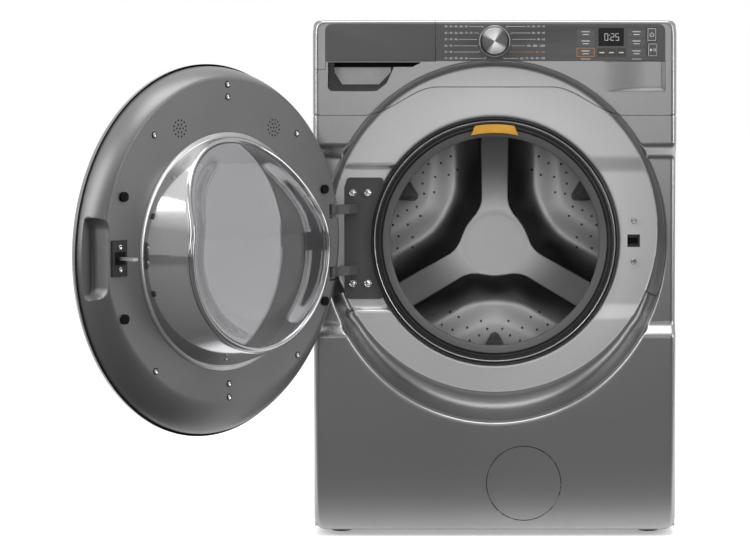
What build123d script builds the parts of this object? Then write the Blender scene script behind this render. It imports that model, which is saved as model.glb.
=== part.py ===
from build123d import *
import os
from math import cos, radians, sin, sqrt

# Front load washing machine, 27 inch class, millimetres, +Z up.
# The origin is on the floor under the middle of the cabinet. -Y is the front.
# Most sub-parts are placed by "depth", the distance behind the plane of the front panel.

# ---- driving dimensions -------------------------------------------------
CABINET_WIDTH = 686.0
CABINET_DEPTH = 740.0
CABINET_TOP = 977.0
FOOT_HEIGHT = 12.0
PAN_LOW = 27.0
SHEET = 2.5
CORNER_RADIUS = 22.0
EDGE_RADIUS = 10.0
FRONT_DEPTH = 30.0
SEAM_Z = 798.0
SEAM_PEAK_Z = 852.0
SEAM_GAP = 0.8

DISH_X = 324.0
DISH_Z = 341.0
DISH_CENTRE_Z = 557.5
DISH_FLOOR_RADIUS = 309.6
DISH_FLOOR_Z = 580.0
DISH_DEPTH = 62.0
OPENING_RADIUS = 237.0
OPENING_Z = 557.0
WAIST_DEPTH = 18.0
WAIST_Z = (384.0, 737.0)
WAIST_INNER_X = 200.0
POCKET_Z = (422.0, 705.0)
POCKET_X = (-316.0, -150.0)
POCKET_DEPTH = 70.0

STRIP_X = (-110.0, 321.0)
STRIP_Z = (900.0, 970.0)
DRAWER_X = -111.0
DRAWER_LOW_Z = 885.0
PULL_X = (-315.0, -201.0, -139.0)
PULL_Z = (844.0, 897.0)
KNOB_Z = 937.0
KNOB_RADIUS = 25.3
KNOB_SKIRT_RADIUS = 30.5
KNOB_REACH = 25.0
DISPLAY_X = (195.0, 243.0)
DISPLAY_Z = (928.0, 962.0)
POWER_X = (287.5, 303.3)
POWER_Z = (937.8, 961.5)
START_X = (289.0, 305.5)
START_Z = (909.5, 932.7)
SLOT_X = 266.0
SLOT_Z = 558.0
SLOT_SIDE = 24.0

DRUM_TILT = 3.6
DRUM_RADIUS = 278.0
DRUM_START = 53.0
DRUM_END = 545.0
DRUM_LIP_RADIUS = 216.0
SPOKE_WIDTH = 56.0
HUB_RADIUS = 71.0
STAR_START = 505.0
TUB_RADIUS = 306.0
TUB_WALL = 5.0
TUB_START = 40.0
TUB_SPLIT = 250.0
TUB_END = 572.0
SHAFT_RADIUS = 15.0
PULLEY_RADIUS = 140.0
PULLEY_START = 620.0
PULLEY_WIDTH = 16.0
MOTOR_X = -110.0
MOTOR_DROP = 368.0
MOTOR_RADIUS = 58.0
MOTOR_PULLEY_RADIUS = 14.0

HINGE_X = -308.0
HINGE_DEPTH = -2.0
DOOR_OPEN_ANGLE = 129.0
LUG_Z = (620.0, 503.0)
LUG_HEIGHT = 17.5
LUG_EYE_RADIUS = 8.3
PIN_RADIUS = 4.5
PIN_CLEARANCE = 0.08
RIM_X = 315.0
RIM_Z = 333.0
PLATEAU_RADIUS = 290.0
PLATEAU_Z = 577.5
PLATEAU_DEPTH = 35.0
RIM_BACK = -12.5
RIM_FRONT = -24.0
DOOR_FACE = -44.0
WINDOW_RADIUS = 214.0
BOWL_RADIUS = 207.0
BOWL_TIP_RADIUS = 173.0
BOWL_DEPTH = 90.0
BOWL_WALL = 5.0

SERVICE_HALF = 190.0
SERVICE_Z = (300.0, 720.0)
INLET_Z = 910.0
DRAIN_Z = 800.0
CORD_Z = 880.0
REAR_PORT_X = 250.0

LATCH_X = 259.0
LATCH_SCREW_REACH = 19.0
FILTER_X = 55.0
FILTER_Z = 101.0
FILTER_RADIUS = 69.75
FILTER_GAP = 1.5
FILTER_COLLAR_END = 24.0
FILTER_TONGUE_WIDTH = 16.0

FRONT = -CABINET_DEPTH / 2
HALF = CABINET_WIDTH / 2
PARTS = "parts"


# ---- shape helpers --------------------------------------------------------
def block(x0, x1, d0, d1, z0, z1):
    """Box between two x, two depths behind the front plane and two heights."""
    centre = Pos((x0 + x1) / 2, FRONT + (d0 + d1) / 2, (z0 + z1) / 2)
    return centre * Box(x1 - x0, d1 - d0, z1 - z0)


def face_plane(depth, x=0.0, z=0.0):
    """Plane that faces the user: local x to the right, local y up."""
    return Plane((x, FRONT + depth, z), x_dir=(1, 0, 0), z_dir=(0, -1, 0))


def prism(sketch, d0, d1, x=0.0, z=0.0):
    """Sketch pushed back from depth d0 to depth d1."""
    return extrude(face_plane(d0, x, z) * sketch, amount=d1 - d0, dir=(0, 1, 0))


def disc(radius, x, z, d0, d1):
    return prism(Circle(radius), d0, d1, x, z)


def ring(outer, inner, x, z, d0, d1):
    return disc(outer, x, z, d0, d1) - disc(inner, x, z, d0 - 1, d1 + 1)


def upright(radius, x, depth, z0, z1):
    """Vertical round bar."""
    return Pos(x, FRONT + depth, (z0 + z1) / 2) * Cylinder(radius, z1 - z0)


def cone_between(sketch_a, depth_a, z_a, sketch_b, depth_b, z_b):
    """Loft from one upright outline to another one further back."""
    return loft([face_plane(depth_a, 0, z_a) * sketch_a, face_plane(depth_b, 0, z_b) * sketch_b])


def save(name, shape):
    export_step(shape, os.path.join(PARTS, name + ".step"))


def group(solids):
    """Separate solids that share one node."""
    return Compound(children=[s for item in solids for s in item.solids()])


# ---- cabinet front --------------------------------------------------------
def rounded_front(inset, d0, d1, radius):
    """Plate with the outline of the machine's front and a rounded front edge."""
    height = CABINET_TOP - FOOT_HEIGHT
    outline = RectangleRounded(CABINET_WIDTH - 2 * inset, height - 2 * inset, CORNER_RADIUS)
    solid = prism(outline, d0, d1, 0, FOOT_HEIGHT + height / 2)
    front_edges = solid.edges().filter_by_position(Axis.Y, FRONT + d0 - 0.1, FRONT + d0 + 0.1)
    return fillet(front_edges, radius)


def waist_blocks(grow):
    """The two shallow recesses beside the door ring, which let the open door's rim swing in."""
    z0, z1 = WAIST_Z
    right = block(WAIST_INNER_X, HALF + 5, -5, WAIST_DEPTH + grow, z0 - grow, z1 + grow)
    left = block(-HALF - 5, -WAIST_INNER_X, -5, WAIST_DEPTH + grow, z0 - grow, z1 + grow)
    return right + left


def dish_cone(grow, floor_depth):
    """Solid of the dish: an oval mouth that narrows to a round floor."""
    mouth = Ellipse(DISH_X + grow, DISH_Z + grow)
    floor = Circle(DISH_FLOOR_RADIUS + grow)
    return cone_between(mouth, 0, DISH_CENTRE_Z, floor, floor_depth, DISH_FLOOR_Z)


def front_shell():
    """The pressed front before it is split into front panel and console."""
    skin = rounded_front(0, 0, FRONT_DEPTH, EDGE_RADIUS) - waist_blocks(0)
    inside = rounded_front(SHEET, SHEET, FRONT_DEPTH + 1, EDGE_RADIUS - SHEET) - waist_blocks(SHEET)
    cavity = dish_cone(0, DISH_DEPTH)
    dish_wall = dish_cone(SHEET, DISH_DEPTH + SHEET) - waist_blocks(0)
    shell = (skin - inside - cavity) + (dish_wall - cavity)
    return shell - disc(OPENING_RADIUS, 0, OPENING_Z, 50, 80)


def seam_region(shift, top):
    """Outline above the console seam (or below it): level at the sides, arched inside the dish."""
    left = [(-400, SEAM_Z + shift), (-248, SEAM_Z + shift)]
    rise = Spline((-248, SEAM_Z + shift), (-171, 826 + shift), (-110, SEAM_PEAK_Z + shift),
                  tangents=((1, 0), (1, 0)))
    middle = Line((-110, SEAM_PEAK_Z + shift), (110, SEAM_PEAK_Z + shift))
    fall = Spline((110, SEAM_PEAK_Z + shift), (171, 826 + shift), (248, SEAM_Z + shift),
                  tangents=((1, 0), (1, 0)))
    far = 1100 if top else -100
    close = Polyline((248, SEAM_Z + shift), (400, SEAM_Z + shift), (400, far), (-400, far), left[0])
    return make_face([Line(*left), rise, middle, fall, close])


def hinge_pocket():
    """Stepped pocket in the dish floor that holds the door hinge."""
    x0, x1 = POCKET_X
    z0, z1 = POCKET_Z
    hollow = block(x0, x1, DISH_DEPTH - 6, POCKET_DEPTH, z0, z1)
    outside = block(x0 - SHEET, x1, DISH_DEPTH, POCKET_DEPTH + SHEET, z0 - SHEET, z1 + SHEET)
    opening = disc(OPENING_RADIUS, 0, OPENING_Z, 40, 90)
    return hollow, outside - opening


def strike_slot(d0, d1):
    half = SLOT_SIDE / 2
    return block(SLOT_X - half, SLOT_X + half, d0, d1, SLOT_Z - half, SLOT_Z + half)


def filter_collar():
    """Collar behind the round hole that guides the tongues of the filter cover."""
    inside = FILTER_RADIUS + FILTER_GAP
    return ring(inside + 2, inside, FILTER_X, FILTER_Z, SHEET - 0.5, FILTER_COLLAR_END)


def front_panel():
    shell = front_shell() & prism(seam_region(-SEAM_GAP, False), -5, 100)
    hollow, outside = hinge_pocket()
    shell = shell + outside - hollow
    shell = shell - strike_slot(50, 80)
    shell = shell - disc(FILTER_RADIUS + FILTER_GAP, FILTER_X, FILTER_Z, -5, 10)
    for side in (-39, 39):
        shell = shell - disc(3.2, SLOT_X, SLOT_Z + side, 50, 80)
    for x, z in hinge_screw_places():
        shell = shell - disc(2.9, x, z, 60, 80)
    return shell + filter_collar()


def drawer_outline(gap):
    """Front of the detergent drawer: the left of the dark strip and the cabinet's top corner."""
    right = DRAWER_X + gap
    low = STRIP_Z[0] - gap
    side = DRAWER_LOW_Z - gap
    step = -319.0 + gap
    points = [(-HALF - 5, side), (step, side), (step, low), (right, low), (right, CABINET_TOP + 5),
              (-HALF - 5, CABINET_TOP + 5), (-HALF - 5, side)]
    return make_face(Polyline(*points))


def pull_outline(gap):
    """Finger recess under the drawer front; its right side follows the ring."""
    left, low_right, top_right = PULL_X
    z0, z1 = PULL_Z
    points = [(left - gap, z0 - gap), (low_right + gap, z0 - gap), (top_right + gap, z1 + gap),
              (left - gap, z1 + gap), (left - gap, z0 - gap)]
    return make_face(Polyline(*points))


def console_fascia():
    shell = front_shell() & prism(seam_region(0, True), -5, 100)
    scoop = prism(pull_outline(1.5), 1, FRONT_DEPTH - 2) - prism(pull_outline(0), -5, FRONT_DEPTH - 4)
    shell = shell - prism(pull_outline(0), -5, 10) + scoop
    shell = shell - prism(drawer_outline(SEAM_GAP), -5, FRONT_DEPTH + 5)
    shell = shell - block(STRIP_X[0], STRIP_X[1], -5, 1.6, STRIP_Z[0], STRIP_Z[1])
    shell = shell - disc(5.0, 0, KNOB_Z, -5, 10)
    shell = shell - block(DISPLAY_X[0], DISPLAY_X[1], -5, 10, DISPLAY_Z[0], DISPLAY_Z[1])
    panel = block(205, 322, -5, 0.8, 843, 897)
    shell = shell - panel
    for x, z in ((POWER_X, POWER_Z), (START_X, START_Z)):
        shell = shell - block(x[0] - 0.4, x[1] + 0.4, -5, 10, z[0] - 0.4, z[1] + 0.4)
    return shell


def control_overlay():
    """Dark printed panel with touch zones, around the knob, the display and two buttons."""
    panel = block(STRIP_X[0] + 0.2, STRIP_X[1] - 0.2, 0.1, 1.5, STRIP_Z[0] + 0.2, STRIP_Z[1] - 0.2)
    panel = panel - disc(5.0, 0, KNOB_Z, -5, 5)
    panel = panel - block(DISPLAY_X[0], DISPLAY_X[1], -5, 5, DISPLAY_Z[0], DISPLAY_Z[1])
    for x, z in ((POWER_X, POWER_Z), (START_X, START_Z)):
        panel = panel - block(x[0] - 0.4, x[1] + 0.4, -5, 5, z[0] - 0.4, z[1] + 0.4)
    return panel


def display_lens():
    gap = 0.2
    x0, x1 = DISPLAY_X
    z0, z1 = DISPLAY_Z
    lens = block(x0 + gap, x1 - gap, -0.1, 3.5, z0 + gap, z1 - gap)
    return lens


def push_button(x, z):
    """Button cap with its plunger towards the switch on the board."""
    cap = block(x[0], x[1], -1.8, 4, z[0], z[1])
    mid_x = (x[0] + x[1]) / 2
    mid_z = (z[0] + z[1]) / 2
    flange = block(x[0] - 1.5, x[1] + 1.5, 4, 5.5, z[0] - 1.5, z[1] + 1.5)
    return cap + flange + disc(2.5, mid_x, mid_z, 5.5, 10)


def control_board():
    """Circuit board with the encoder, two switches and the display module."""
    board = block(-100, 315, 16, 17.6, 904, 966)
    encoder = block(-9, 9, 9, 16, KNOB_Z - 9, KNOB_Z + 9) - disc(3.2, 0, KNOB_Z, 0, 15)
    display = block(DISPLAY_X[0] + 2, DISPLAY_X[1] - 2, 6, 16, DISPLAY_Z[0] + 2, DISPLAY_Z[1] - 2)
    board = board + encoder + display
    for x, z in ((POWER_X, POWER_Z), (START_X, START_Z)):
        mid_x = (x[0] + x[1]) / 2
        mid_z = (z[0] + z[1]) / 2
        board = board + block(mid_x - 3, mid_x + 3, 12, 16, mid_z - 3, mid_z + 3)
    return board


def cycle_knob():
    """Knob with a rounded rim and a skirt ring; the shaft turns in the encoder."""
    body = disc(KNOB_RADIUS + 1.2, 0, KNOB_Z, -KNOB_REACH, -1)
    rim = body.edges().filter_by_position(Axis.Y, FRONT - KNOB_REACH - 0.1, FRONT - KNOB_REACH + 0.1)
    body = fillet(rim, 2.5)
    pointer = block(-1, 1, -KNOB_REACH - 0.4, -KNOB_REACH + 1, KNOB_Z + 8, KNOB_Z + 21)
    turned = Pos(0, 0, KNOB_Z) * Rot(0, -16, 0) * Pos(0, 0, -KNOB_Z) * pointer
    skirt = disc(KNOB_SKIRT_RADIUS, 0, KNOB_Z, -4.5, -0.4)
    return body + skirt + disc(3.1, 0, KNOB_Z, -1.5, 14) + turned


# ---- detergent drawer -----------------------------------------------------
def drawer_front():
    """Front block of the drawer, with a finger hollow that opens downwards."""
    skin = rounded_front(0, 0, 22, EDGE_RADIUS) & prism(drawer_outline(0), -5, 40)
    hollow = block(-300, -130, 4, 20, STRIP_Z[0] - 5, 922)
    return skin - hollow


def drawer_tray():
    """Three-compartment tray."""
    x0, x1 = -300.0, -126.0
    d0, d1 = 22.0, 300.0
    z0, z1 = 908.0, 954.0
    tray = block(x0, x1, d0, d1, z0, z1)
    walls = [x0 + 2, -238.0, -236.0, -180.0, -178.0, x1 - 2]
    for left, right in zip(walls[0::2], walls[1::2]):
        tray = tray - block(left, right, d0 + 2, d1 - 2, z0 + 2.5, z1 + 5)
    return tray


def siphon_caps():
    """Two small siphon covers that stand in the softener and bleach compartments."""
    caps = []
    for x in (-268.0, -208.0):
        base = upright(9, x, 250, 911, 917)
        tower = upright(5, x, 250, 917, 940)
        caps.append(base + tower)
    return group(caps)


def dispenser_housing():
    """Open-fronted box that the drawer slides in, with an outlet under its back end."""
    outer = block(-306, -119, 34, 330, 900, 967)
    inner = block(-303.5, -121.5, 30, 327.5, 903, 964.5)
    spout = upright(20, -150, 250, 888, 901) - upright(17, -150, 250, 880, 910)
    inlet = disc(9, -230, 945, 328, 345) - disc(7, -230, 945, 320, 350)
    drain = upright(17, -150, 250, 890, 910)
    return outer - inner - drain + spout + inlet


# ---- tub and drum ---------------------------------------------------------
AXIS = Pos(0, FRONT + DISH_DEPTH, OPENING_Z) * Rot(-DRUM_TILT, 0, 0)


def axial(sketch, a0, a1):
    """Sketch pushed back along the tilted drum axis, still untilted."""
    plane = Plane((0, a0, 0), x_dir=(1, 0, 0), z_dir=(0, -1, 0))
    return extrude(plane * sketch, amount=a1 - a0, dir=(0, 1, 0))


def tube(outer, inner, a0, a1, x=0.0, z=0.0):
    place = Pos(x, z)
    return axial(place * Circle(outer) - place * Circle(inner), a0, a1)


def drum_basket():
    """Rolled steel drum wall with a turned-in front lip."""
    wall = tube(DRUM_RADIUS, DRUM_RADIUS - 2, DRUM_START, DRUM_END)
    lip = tube(DRUM_RADIUS, DRUM_LIP_RADIUS, DRUM_START, DRUM_START + 2)
    curl = tube(DRUM_LIP_RADIUS + 3, DRUM_LIP_RADIUS, DRUM_START, DRUM_START + 10)
    return AXIS * (wall + lip + curl)


def star(hub_radius, spoke_width, reach):
    """Hub disc with three spokes at 90, 210 and 330 degrees."""
    shape = Circle(hub_radius)
    for turn in (90, 210, 330):
        shape = shape + Rot(0, 0, turn) * Pos(reach / 2, 0) * Rectangle(reach, spoke_width)
    return shape & Circle(reach)


def drum_back():
    """Pressed back of the drum: a raised three-spoke star and three deeper sectors."""
    reach = DRUM_RADIUS - 2.3
    plate = axial(Circle(reach), DRUM_END - 6, DRUM_END - 3)
    raised = axial(star(HUB_RADIUS, SPOKE_WIDTH, reach - 1), STAR_START, DRUM_END - 5)
    hollow = axial(star(HUB_RADIUS - 3, SPOKE_WIDTH - 6, reach - 5), STAR_START + 3, DRUM_END - 6)
    back = plate + (raised - hollow)
    holes = []
    for sector in (30, 150, 270):
        for radius, count in ((200, 7), (222, 8)):
            for index in range(count):
                turn = sector + (index - (count - 1) / 2) * 6.5
                centre = Rot(0, 0, turn) * Pos(radius, 0)
                holes.append(centre * Circle(2.2))
    drill = axial(Sketch() + holes, DRUM_END - 10, DRUM_END)
    return AXIS * (back - drill)


def drum_lifters():
    """Three hollow ribs that lift the load."""
    ribs = []
    for turn in (30, 150, 270):
        outer = make_face(Polyline((DRUM_RADIUS - 3, -52), (192, -8), (188, 0), (192, 8),
                                   (DRUM_RADIUS - 3, 52), (DRUM_RADIUS - 3, -52)))
        inner = make_face(Polyline((DRUM_RADIUS, -46), (197, -6), (197, 6), (DRUM_RADIUS, 46),
                                   (DRUM_RADIUS, -46)))
        inside = Circle(DRUM_RADIUS - 2.3)
        rib = axial(Rot(0, 0, turn) * outer & inside, 120, 480)
        rib = rib - axial(Rot(0, 0, turn) * inner, 123, 477)
        ribs.append(rib)
    return group([AXIS * rib for rib in ribs])


def drum_spider():
    """Three-arm casting and shaft behind the drum."""
    arms = axial(star(60, 44, DRUM_RADIUS - 14), DRUM_END - 2.7, DRUM_END + 10)
    shaft = tube(SHAFT_RADIUS, 3, DRUM_END, PULLEY_START + PULLEY_WIDTH + 4)
    return AXIS * (arms + shaft)


def drum_pulley():
    """Large belt pulley with five lightening holes."""
    end = PULLEY_START + PULLEY_WIDTH
    rim = tube(PULLEY_RADIUS, PULLEY_RADIUS - 8, PULLEY_START, end)
    web = tube(PULLEY_RADIUS - 7, SHAFT_RADIUS + 0.02, PULLEY_START + 5, PULLEY_START + 10)
    hub = tube(28, SHAFT_RADIUS + 0.02, PULLEY_START, end)
    wheel = rim + web + hub
    for turn in range(0, 360, 72):
        hole = Rot(0, 0, turn) * Pos(80, 0) * Circle(30)
        wheel = wheel - axial(hole, PULLEY_START, end)
    return AXIS * wheel


def tub_front():
    """Front half of the outer tub, with the gasket neck and the dispenser port."""
    wall = tube(TUB_RADIUS, TUB_RADIUS - TUB_WALL, TUB_START, TUB_SPLIT)
    face = tube(TUB_RADIUS, 231, TUB_START, TUB_START + TUB_WALL)
    neck = tube(236, 231, TUB_START - 10, TUB_START + 3)
    flange = tube(TUB_RADIUS + 10, TUB_RADIUS - 1, TUB_SPLIT - 8, TUB_SPLIT)
    body = AXIS * (wall + face + neck + flange)
    port = upright(20, -150, 250, 800, 842) - upright(16, -150, 250, 780, 850)
    keep = AXIS * axial(Circle(TUB_RADIUS - 1), 0, 400)
    bore = upright(16, -150, 250, 780, 850)
    return body - bore + (port - keep)


def tub_rear():
    """Rear half of the outer tub, with a ribbed back wall and the bearing boss."""
    wall = tube(TUB_RADIUS, TUB_RADIUS - TUB_WALL, TUB_SPLIT + 0.4, TUB_END)
    flange = tube(TUB_RADIUS + 10, TUB_RADIUS - 1, TUB_SPLIT + 0.4, TUB_SPLIT + 8)
    back = tube(TUB_RADIUS, 44, TUB_END - 6, TUB_END)
    boss = tube(50, 40.02, TUB_END - 6, PULLEY_START - 6)
    body = wall + flange + back + boss
    for turn in range(0, 360, 30):
        rib = Rot(0, 0, turn) * Pos(172, 0) * Rectangle(240, 5)
        body = body + axial(rib, TUB_END - 1, TUB_END + 18)
    terminal = axial(Pos(0, -290) * Rectangle(96, 12), TUB_END - 10, TUB_END + 30)
    port = upright(24, FILTER_X, 330, 212, 262) - AXIS * axial(Circle(TUB_RADIUS - 1), 100, 500)
    return (AXIS * (body - terminal)) + port - upright(20, FILTER_X, 330, 180, 270)


def drum_bearings():
    """Front and rear ball bearings, drawn as rings."""
    fit = SHAFT_RADIUS + 0.05
    front = tube(40, fit, TUB_END - 2, TUB_END + 14)
    rear = tube(40, fit, PULLEY_START - 24, PULLEY_START - 8)
    return group([AXIS * front, AXIS * rear])


def shaft_seal():
    return AXIS * tube(40, SHAFT_RADIUS + 0.08, TUB_END - 10, TUB_END - 2.5)


def heating_element():
    """U-shaped heater between drum and tub, with its terminal plate outside."""
    drop = -290.0
    rods = axial(Pos(-40, drop) * Circle(4), 140, TUB_END + 2)
    rods = rods + axial(Pos(40, drop) * Circle(4), 140, TUB_END + 2)
    bar = axial(Pos(0, drop) * Rectangle(80, 7), 136, 143)
    plate = axial(Pos(0, drop) * Rectangle(94, 10), TUB_END - 5, TUB_END + 6)
    return AXIS * (rods + bar + plate)


def drive_motor():
    """Motor under the tub; its pulley is a separate turning part."""
    place = Pos(MOTOR_X, -MOTOR_DROP)
    can = axial(place * Circle(MOTOR_RADIUS), 400, 580)
    nose = axial(place * Circle(26), 578, 606)
    bore = axial(place * Circle(6.08), 560, 620)
    bracket = axial(Pos(MOTOR_X, -MOTOR_DROP + 62) * Rectangle(60, 12), 430, 560)
    return AXIS * (can + nose + bracket - bore)


def motor_pulley():
    place = Pos(MOTOR_X, -MOTOR_DROP)
    shaft = axial(place * Circle(6), 566, PULLEY_START + PULLEY_WIDTH)
    wheel = axial(place * Circle(MOTOR_PULLEY_RADIUS), PULLEY_START, PULLEY_START + PULLEY_WIDTH)
    return AXIS * (shaft + wheel)


def drive_belt():
    """Flat ribbed belt round both pulleys."""
    shapes = []
    for grow in (3.5, 0.4):
        big = Circle(PULLEY_RADIUS + grow)
        small = Pos(MOTOR_X, -MOTOR_DROP) * Circle(MOTOR_PULLEY_RADIUS + grow)
        shapes.append(make_hull((big + small).edges()))
    return AXIS * axial(shapes[0] - shapes[1], PULLEY_START + 1, PULLEY_START + PULLEY_WIDTH - 1)


def counterweights():
    """Two concrete blocks, above and below the front of the tub."""
    place = AXIS * axial(Circle(TUB_RADIUS + 12), 0, 700)
    top = block(-95, 145, 120, 300, 868, 930) - place
    low = block(-170, 10, 110, 330, 208, 262) - place
    return group([top, low])


def door_gasket():
    """Rubber bellows between the dish floor and the tub neck."""
    fold = [(OPENING_RADIUS - 0.5, 66), (OPENING_RADIUS - 0.5, 60), (226, 58), (213, 58), (200, 64),
            (200, 70), (212, 66), (222, 68), (222, 91), (213, 93), (213, 96.5), (225, 95),
            (225, 65), (231, 66), (OPENING_RADIUS - 0.5, 66)]
    profile = make_face(Polyline(*[(r, FRONT + d) for r, d in fold]))
    solid = revolve(Plane.XY * profile, Axis.Y, 360)
    return Pos(0, 0, OPENING_Z) * solid


def gasket_clamp():
    """Spring ring that holds the gasket to the front panel."""
    return ring(231.5, 228.5, 0, OPENING_Z, 55, 57.8)


def gasket_tab():
    """Coloured tab at the top of the gasket."""
    outline = make_face(Polyline((-46, 207), (-38, 224), (38, 224), (46, 207), (-46, 207)))
    tab = prism(outline, 55, 57.8, 0, OPENING_Z)
    return tab - disc(206, 0, OPENING_Z, 50, 60)


# ---- door, modelled closed and then swung open ------------------------------
def swing(shape):
    """Turn a closed-door shape about the hinge to the open position."""
    pivot = Pos(HINGE_X, FRONT + HINGE_DEPTH, 0)
    back = Pos(-HINGE_X, -FRONT - HINGE_DEPTH, 0)
    return pivot * Rot(0, 0, -DOOR_OPEN_ANGLE) * back * shape


def oval(inset):
    return Ellipse(RIM_X - inset, RIM_Z - inset)


def hinge_windows(d0, d1):
    """Openings at the hinge side of the door, one for each fixed lug."""
    cuts = []
    for z in LUG_Z:
        cuts.append(block(HINGE_X - 20, HINGE_X + 46, d0, d1, z - 13.5, z + 13.5))
    return cuts[0] + cuts[1]


def door_outer_ring():
    """Front shell of the door: thin at its edge, thicker round the window."""
    rim = prism(oval(0), RIM_FRONT + 3, RIM_BACK, 0, DISH_CENTRE_Z)
    dome = cone_between(oval(0), RIM_FRONT + 3, DISH_CENTRE_Z, Ellipse(262, 284), DOOR_FACE, DISH_CENTRE_Z)
    inside = cone_between(oval(3), RIM_FRONT + 6, DISH_CENTRE_Z, Ellipse(259, 281), DOOR_FACE + 3,
                          DISH_CENTRE_Z)
    cup = prism(oval(3), RIM_FRONT + 6, 0, 0, DISH_CENTRE_Z)
    shell = rim + dome - inside - cup
    shell = shell - disc(WINDOW_RADIUS + 0.4, 0, DISH_CENTRE_Z, -60, 0)
    ledge = ring(WINDOW_RADIUS + 4, WINDOW_RADIUS + 0.4, 0, DISH_CENTRE_Z, DOOR_FACE, DOOR_FACE + 12)
    return swing(shell + ledge)


def door_window():
    """Tinted outer window, slightly domed."""
    depth = DOOR_FACE + 9
    chord = WINDOW_RADIUS
    rise = 12.0
    radius = (chord * chord + rise * rise) / (2 * rise)
    centre = Pos(0, FRONT + depth - rise + radius, DISH_CENTRE_Z)
    dome = centre * Sphere(radius) - centre * Sphere(radius - 4)
    window = dome & disc(chord, 0, DISH_CENTRE_Z, depth - rise - 1, depth + 3)
    return swing(window)


def plateau_profile(inset):
    return Circle(PLATEAU_RADIUS - inset)


def door_inner_panel():
    """Inner shell of the door with the hinge windows, the latch seat and the pull recess."""
    outer = cone_between(oval(4), RIM_BACK + 0.4, DISH_CENTRE_Z, plateau_profile(0), PLATEAU_DEPTH,
                         PLATEAU_Z)
    inner = cone_between(oval(7), RIM_BACK, DISH_CENTRE_Z, plateau_profile(3), PLATEAU_DEPTH - 3,
                         PLATEAU_Z)
    brim = prism(oval(3.4), RIM_BACK - 4, RIM_BACK + 0.5, 0, DISH_CENTRE_Z)
    brim = brim - prism(oval(7), RIM_BACK - 5, RIM_BACK + 1, 0, DISH_CENTRE_Z)
    shell = outer - inner + brim
    shell = shell - disc(BOWL_RADIUS + 0.6, 0, DISH_CENTRE_Z, 0, 60)
    shell = shell - hinge_windows(-30, 60)
    pull = block(283, 330, -8, 60, DISH_CENTRE_Z - 71, DISH_CENTRE_Z + 71)
    seat = block(280, 320, -10, PLATEAU_DEPTH, DISH_CENTRE_Z - 74, DISH_CENTRE_Z + 74) & outer
    shell = (shell + seat) - pull
    shell = shell - block(246, 272, 20, 60, DISH_CENTRE_Z - 17, DISH_CENTRE_Z + 17)
    for x, z in vent_centres():
        for index in range(7):
            turn = radians(60 * index)
            reach = 0 if index == 6 else 9
            hole = disc(1.8, x + reach * cos(turn), z + reach * sin(turn), 20, 60)
            shell = shell - hole
    for x, z in door_screw_places():
        shell = shell - disc(2.6, x, z, 20, 60)
    for x, z in bumper_places():
        shell = shell - disc(4.2, x, z, 20, 60)
    for x, z in latch_screw_places():
        shell = shell - disc(2.6, x, z, 20, 60)
    return swing(shell)


def vent_centres():
    return [(-116, DISH_CENTRE_Z + 219), (116, DISH_CENTRE_Z + 219)]


def door_screw_places():
    places = [(-176, 208), (176, 208), (-176, -199), (176, -199), (0, 296), (0, 274), (0, -236), (0, -260)]
    return [(x, DISH_CENTRE_Z + w) for x, w in places]


def latch_screw_places():
    return [(LATCH_X, DISH_CENTRE_Z - LATCH_SCREW_REACH), (LATCH_X, DISH_CENTRE_Z + LATCH_SCREW_REACH)]


def bumper_places():
    return [(x, DISH_CENTRE_Z + w) for x in (-248, 248) for w in (-104, 104)]


def door_screws():
    """Pan-head screws of the inner panel and the latch."""
    screws = []
    for x, z in door_screw_places():
        screws.append(disc(5.5, x, z, PLATEAU_DEPTH, PLATEAU_DEPTH + 2.2) + disc(2.4, x, z, 22, 36))
    for x, z in latch_screw_places():
        screws.append(disc(4.6, x, z, PLATEAU_DEPTH + 4, PLATEAU_DEPTH + 6) + disc(2.2, x, z, 30, 40))
    return swing(group(screws))


def door_bumpers():
    """Soft plugs that meet the dish floor."""
    plugs = []
    for x, z in bumper_places():
        plugs.append(disc(8.5, x, z, PLATEAU_DEPTH, PLATEAU_DEPTH + 5) + disc(4, x, z, 28, 36))
    return swing(group(plugs))


def bowl_solid(inset):
    """Bowl body: a cone whose upper side is sliced off at a slant."""
    base = cone_between(Circle(BOWL_RADIUS - inset), PLATEAU_DEPTH - 8, DISH_CENTRE_Z,
                        Circle(BOWL_TIP_RADIUS - inset), PLATEAU_DEPTH + BOWL_DEPTH - inset, DISH_CENTRE_Z)
    slope = Pos(0, FRONT + PLATEAU_DEPTH + BOWL_DEPTH - inset, DISH_CENTRE_Z + 48) * Rot(26, 0, 0)
    knife = slope * Pos(0, 150, 200) * Box(600, 300, 460)
    return base - knife


def door_glass():
    """Moulded glass bowl with a mounting flange behind the inner panel."""
    shell = bowl_solid(0) - bowl_solid(BOWL_WALL)
    mouth = disc(BOWL_RADIUS - BOWL_WALL, 0, DISH_CENTRE_Z, PLATEAU_DEPTH - 20, PLATEAU_DEPTH - 7)
    flange = disc(BOWL_RADIUS + 10, 0, DISH_CENTRE_Z, PLATEAU_DEPTH - 8, PLATEAU_DEPTH - 3.4)
    glass = shell + flange - mouth
    return swing(glass)


def door_hinge_bracket():
    """Steel bracket in the door with one pivot pin for each lug."""
    plate = block(HINGE_X + 50, HINGE_X + 54, -8, 26, 470, 653)
    bracket = plate
    for z in LUG_Z:
        for side in (-1, 1):
            mid = z + side * 11.2
            arm = block(HINGE_X, HINGE_X + 52, HINGE_DEPTH - 6, HINGE_DEPTH + 6, mid - 1.8, mid + 1.8)
            arm = arm + upright(7.5, HINGE_X, HINGE_DEPTH, mid - 1.8, mid + 1.8)
            bracket = bracket + arm
        bracket = bracket + upright(PIN_RADIUS, HINGE_X, HINGE_DEPTH, z - 12, z + 12)
    return swing(bracket)


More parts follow.
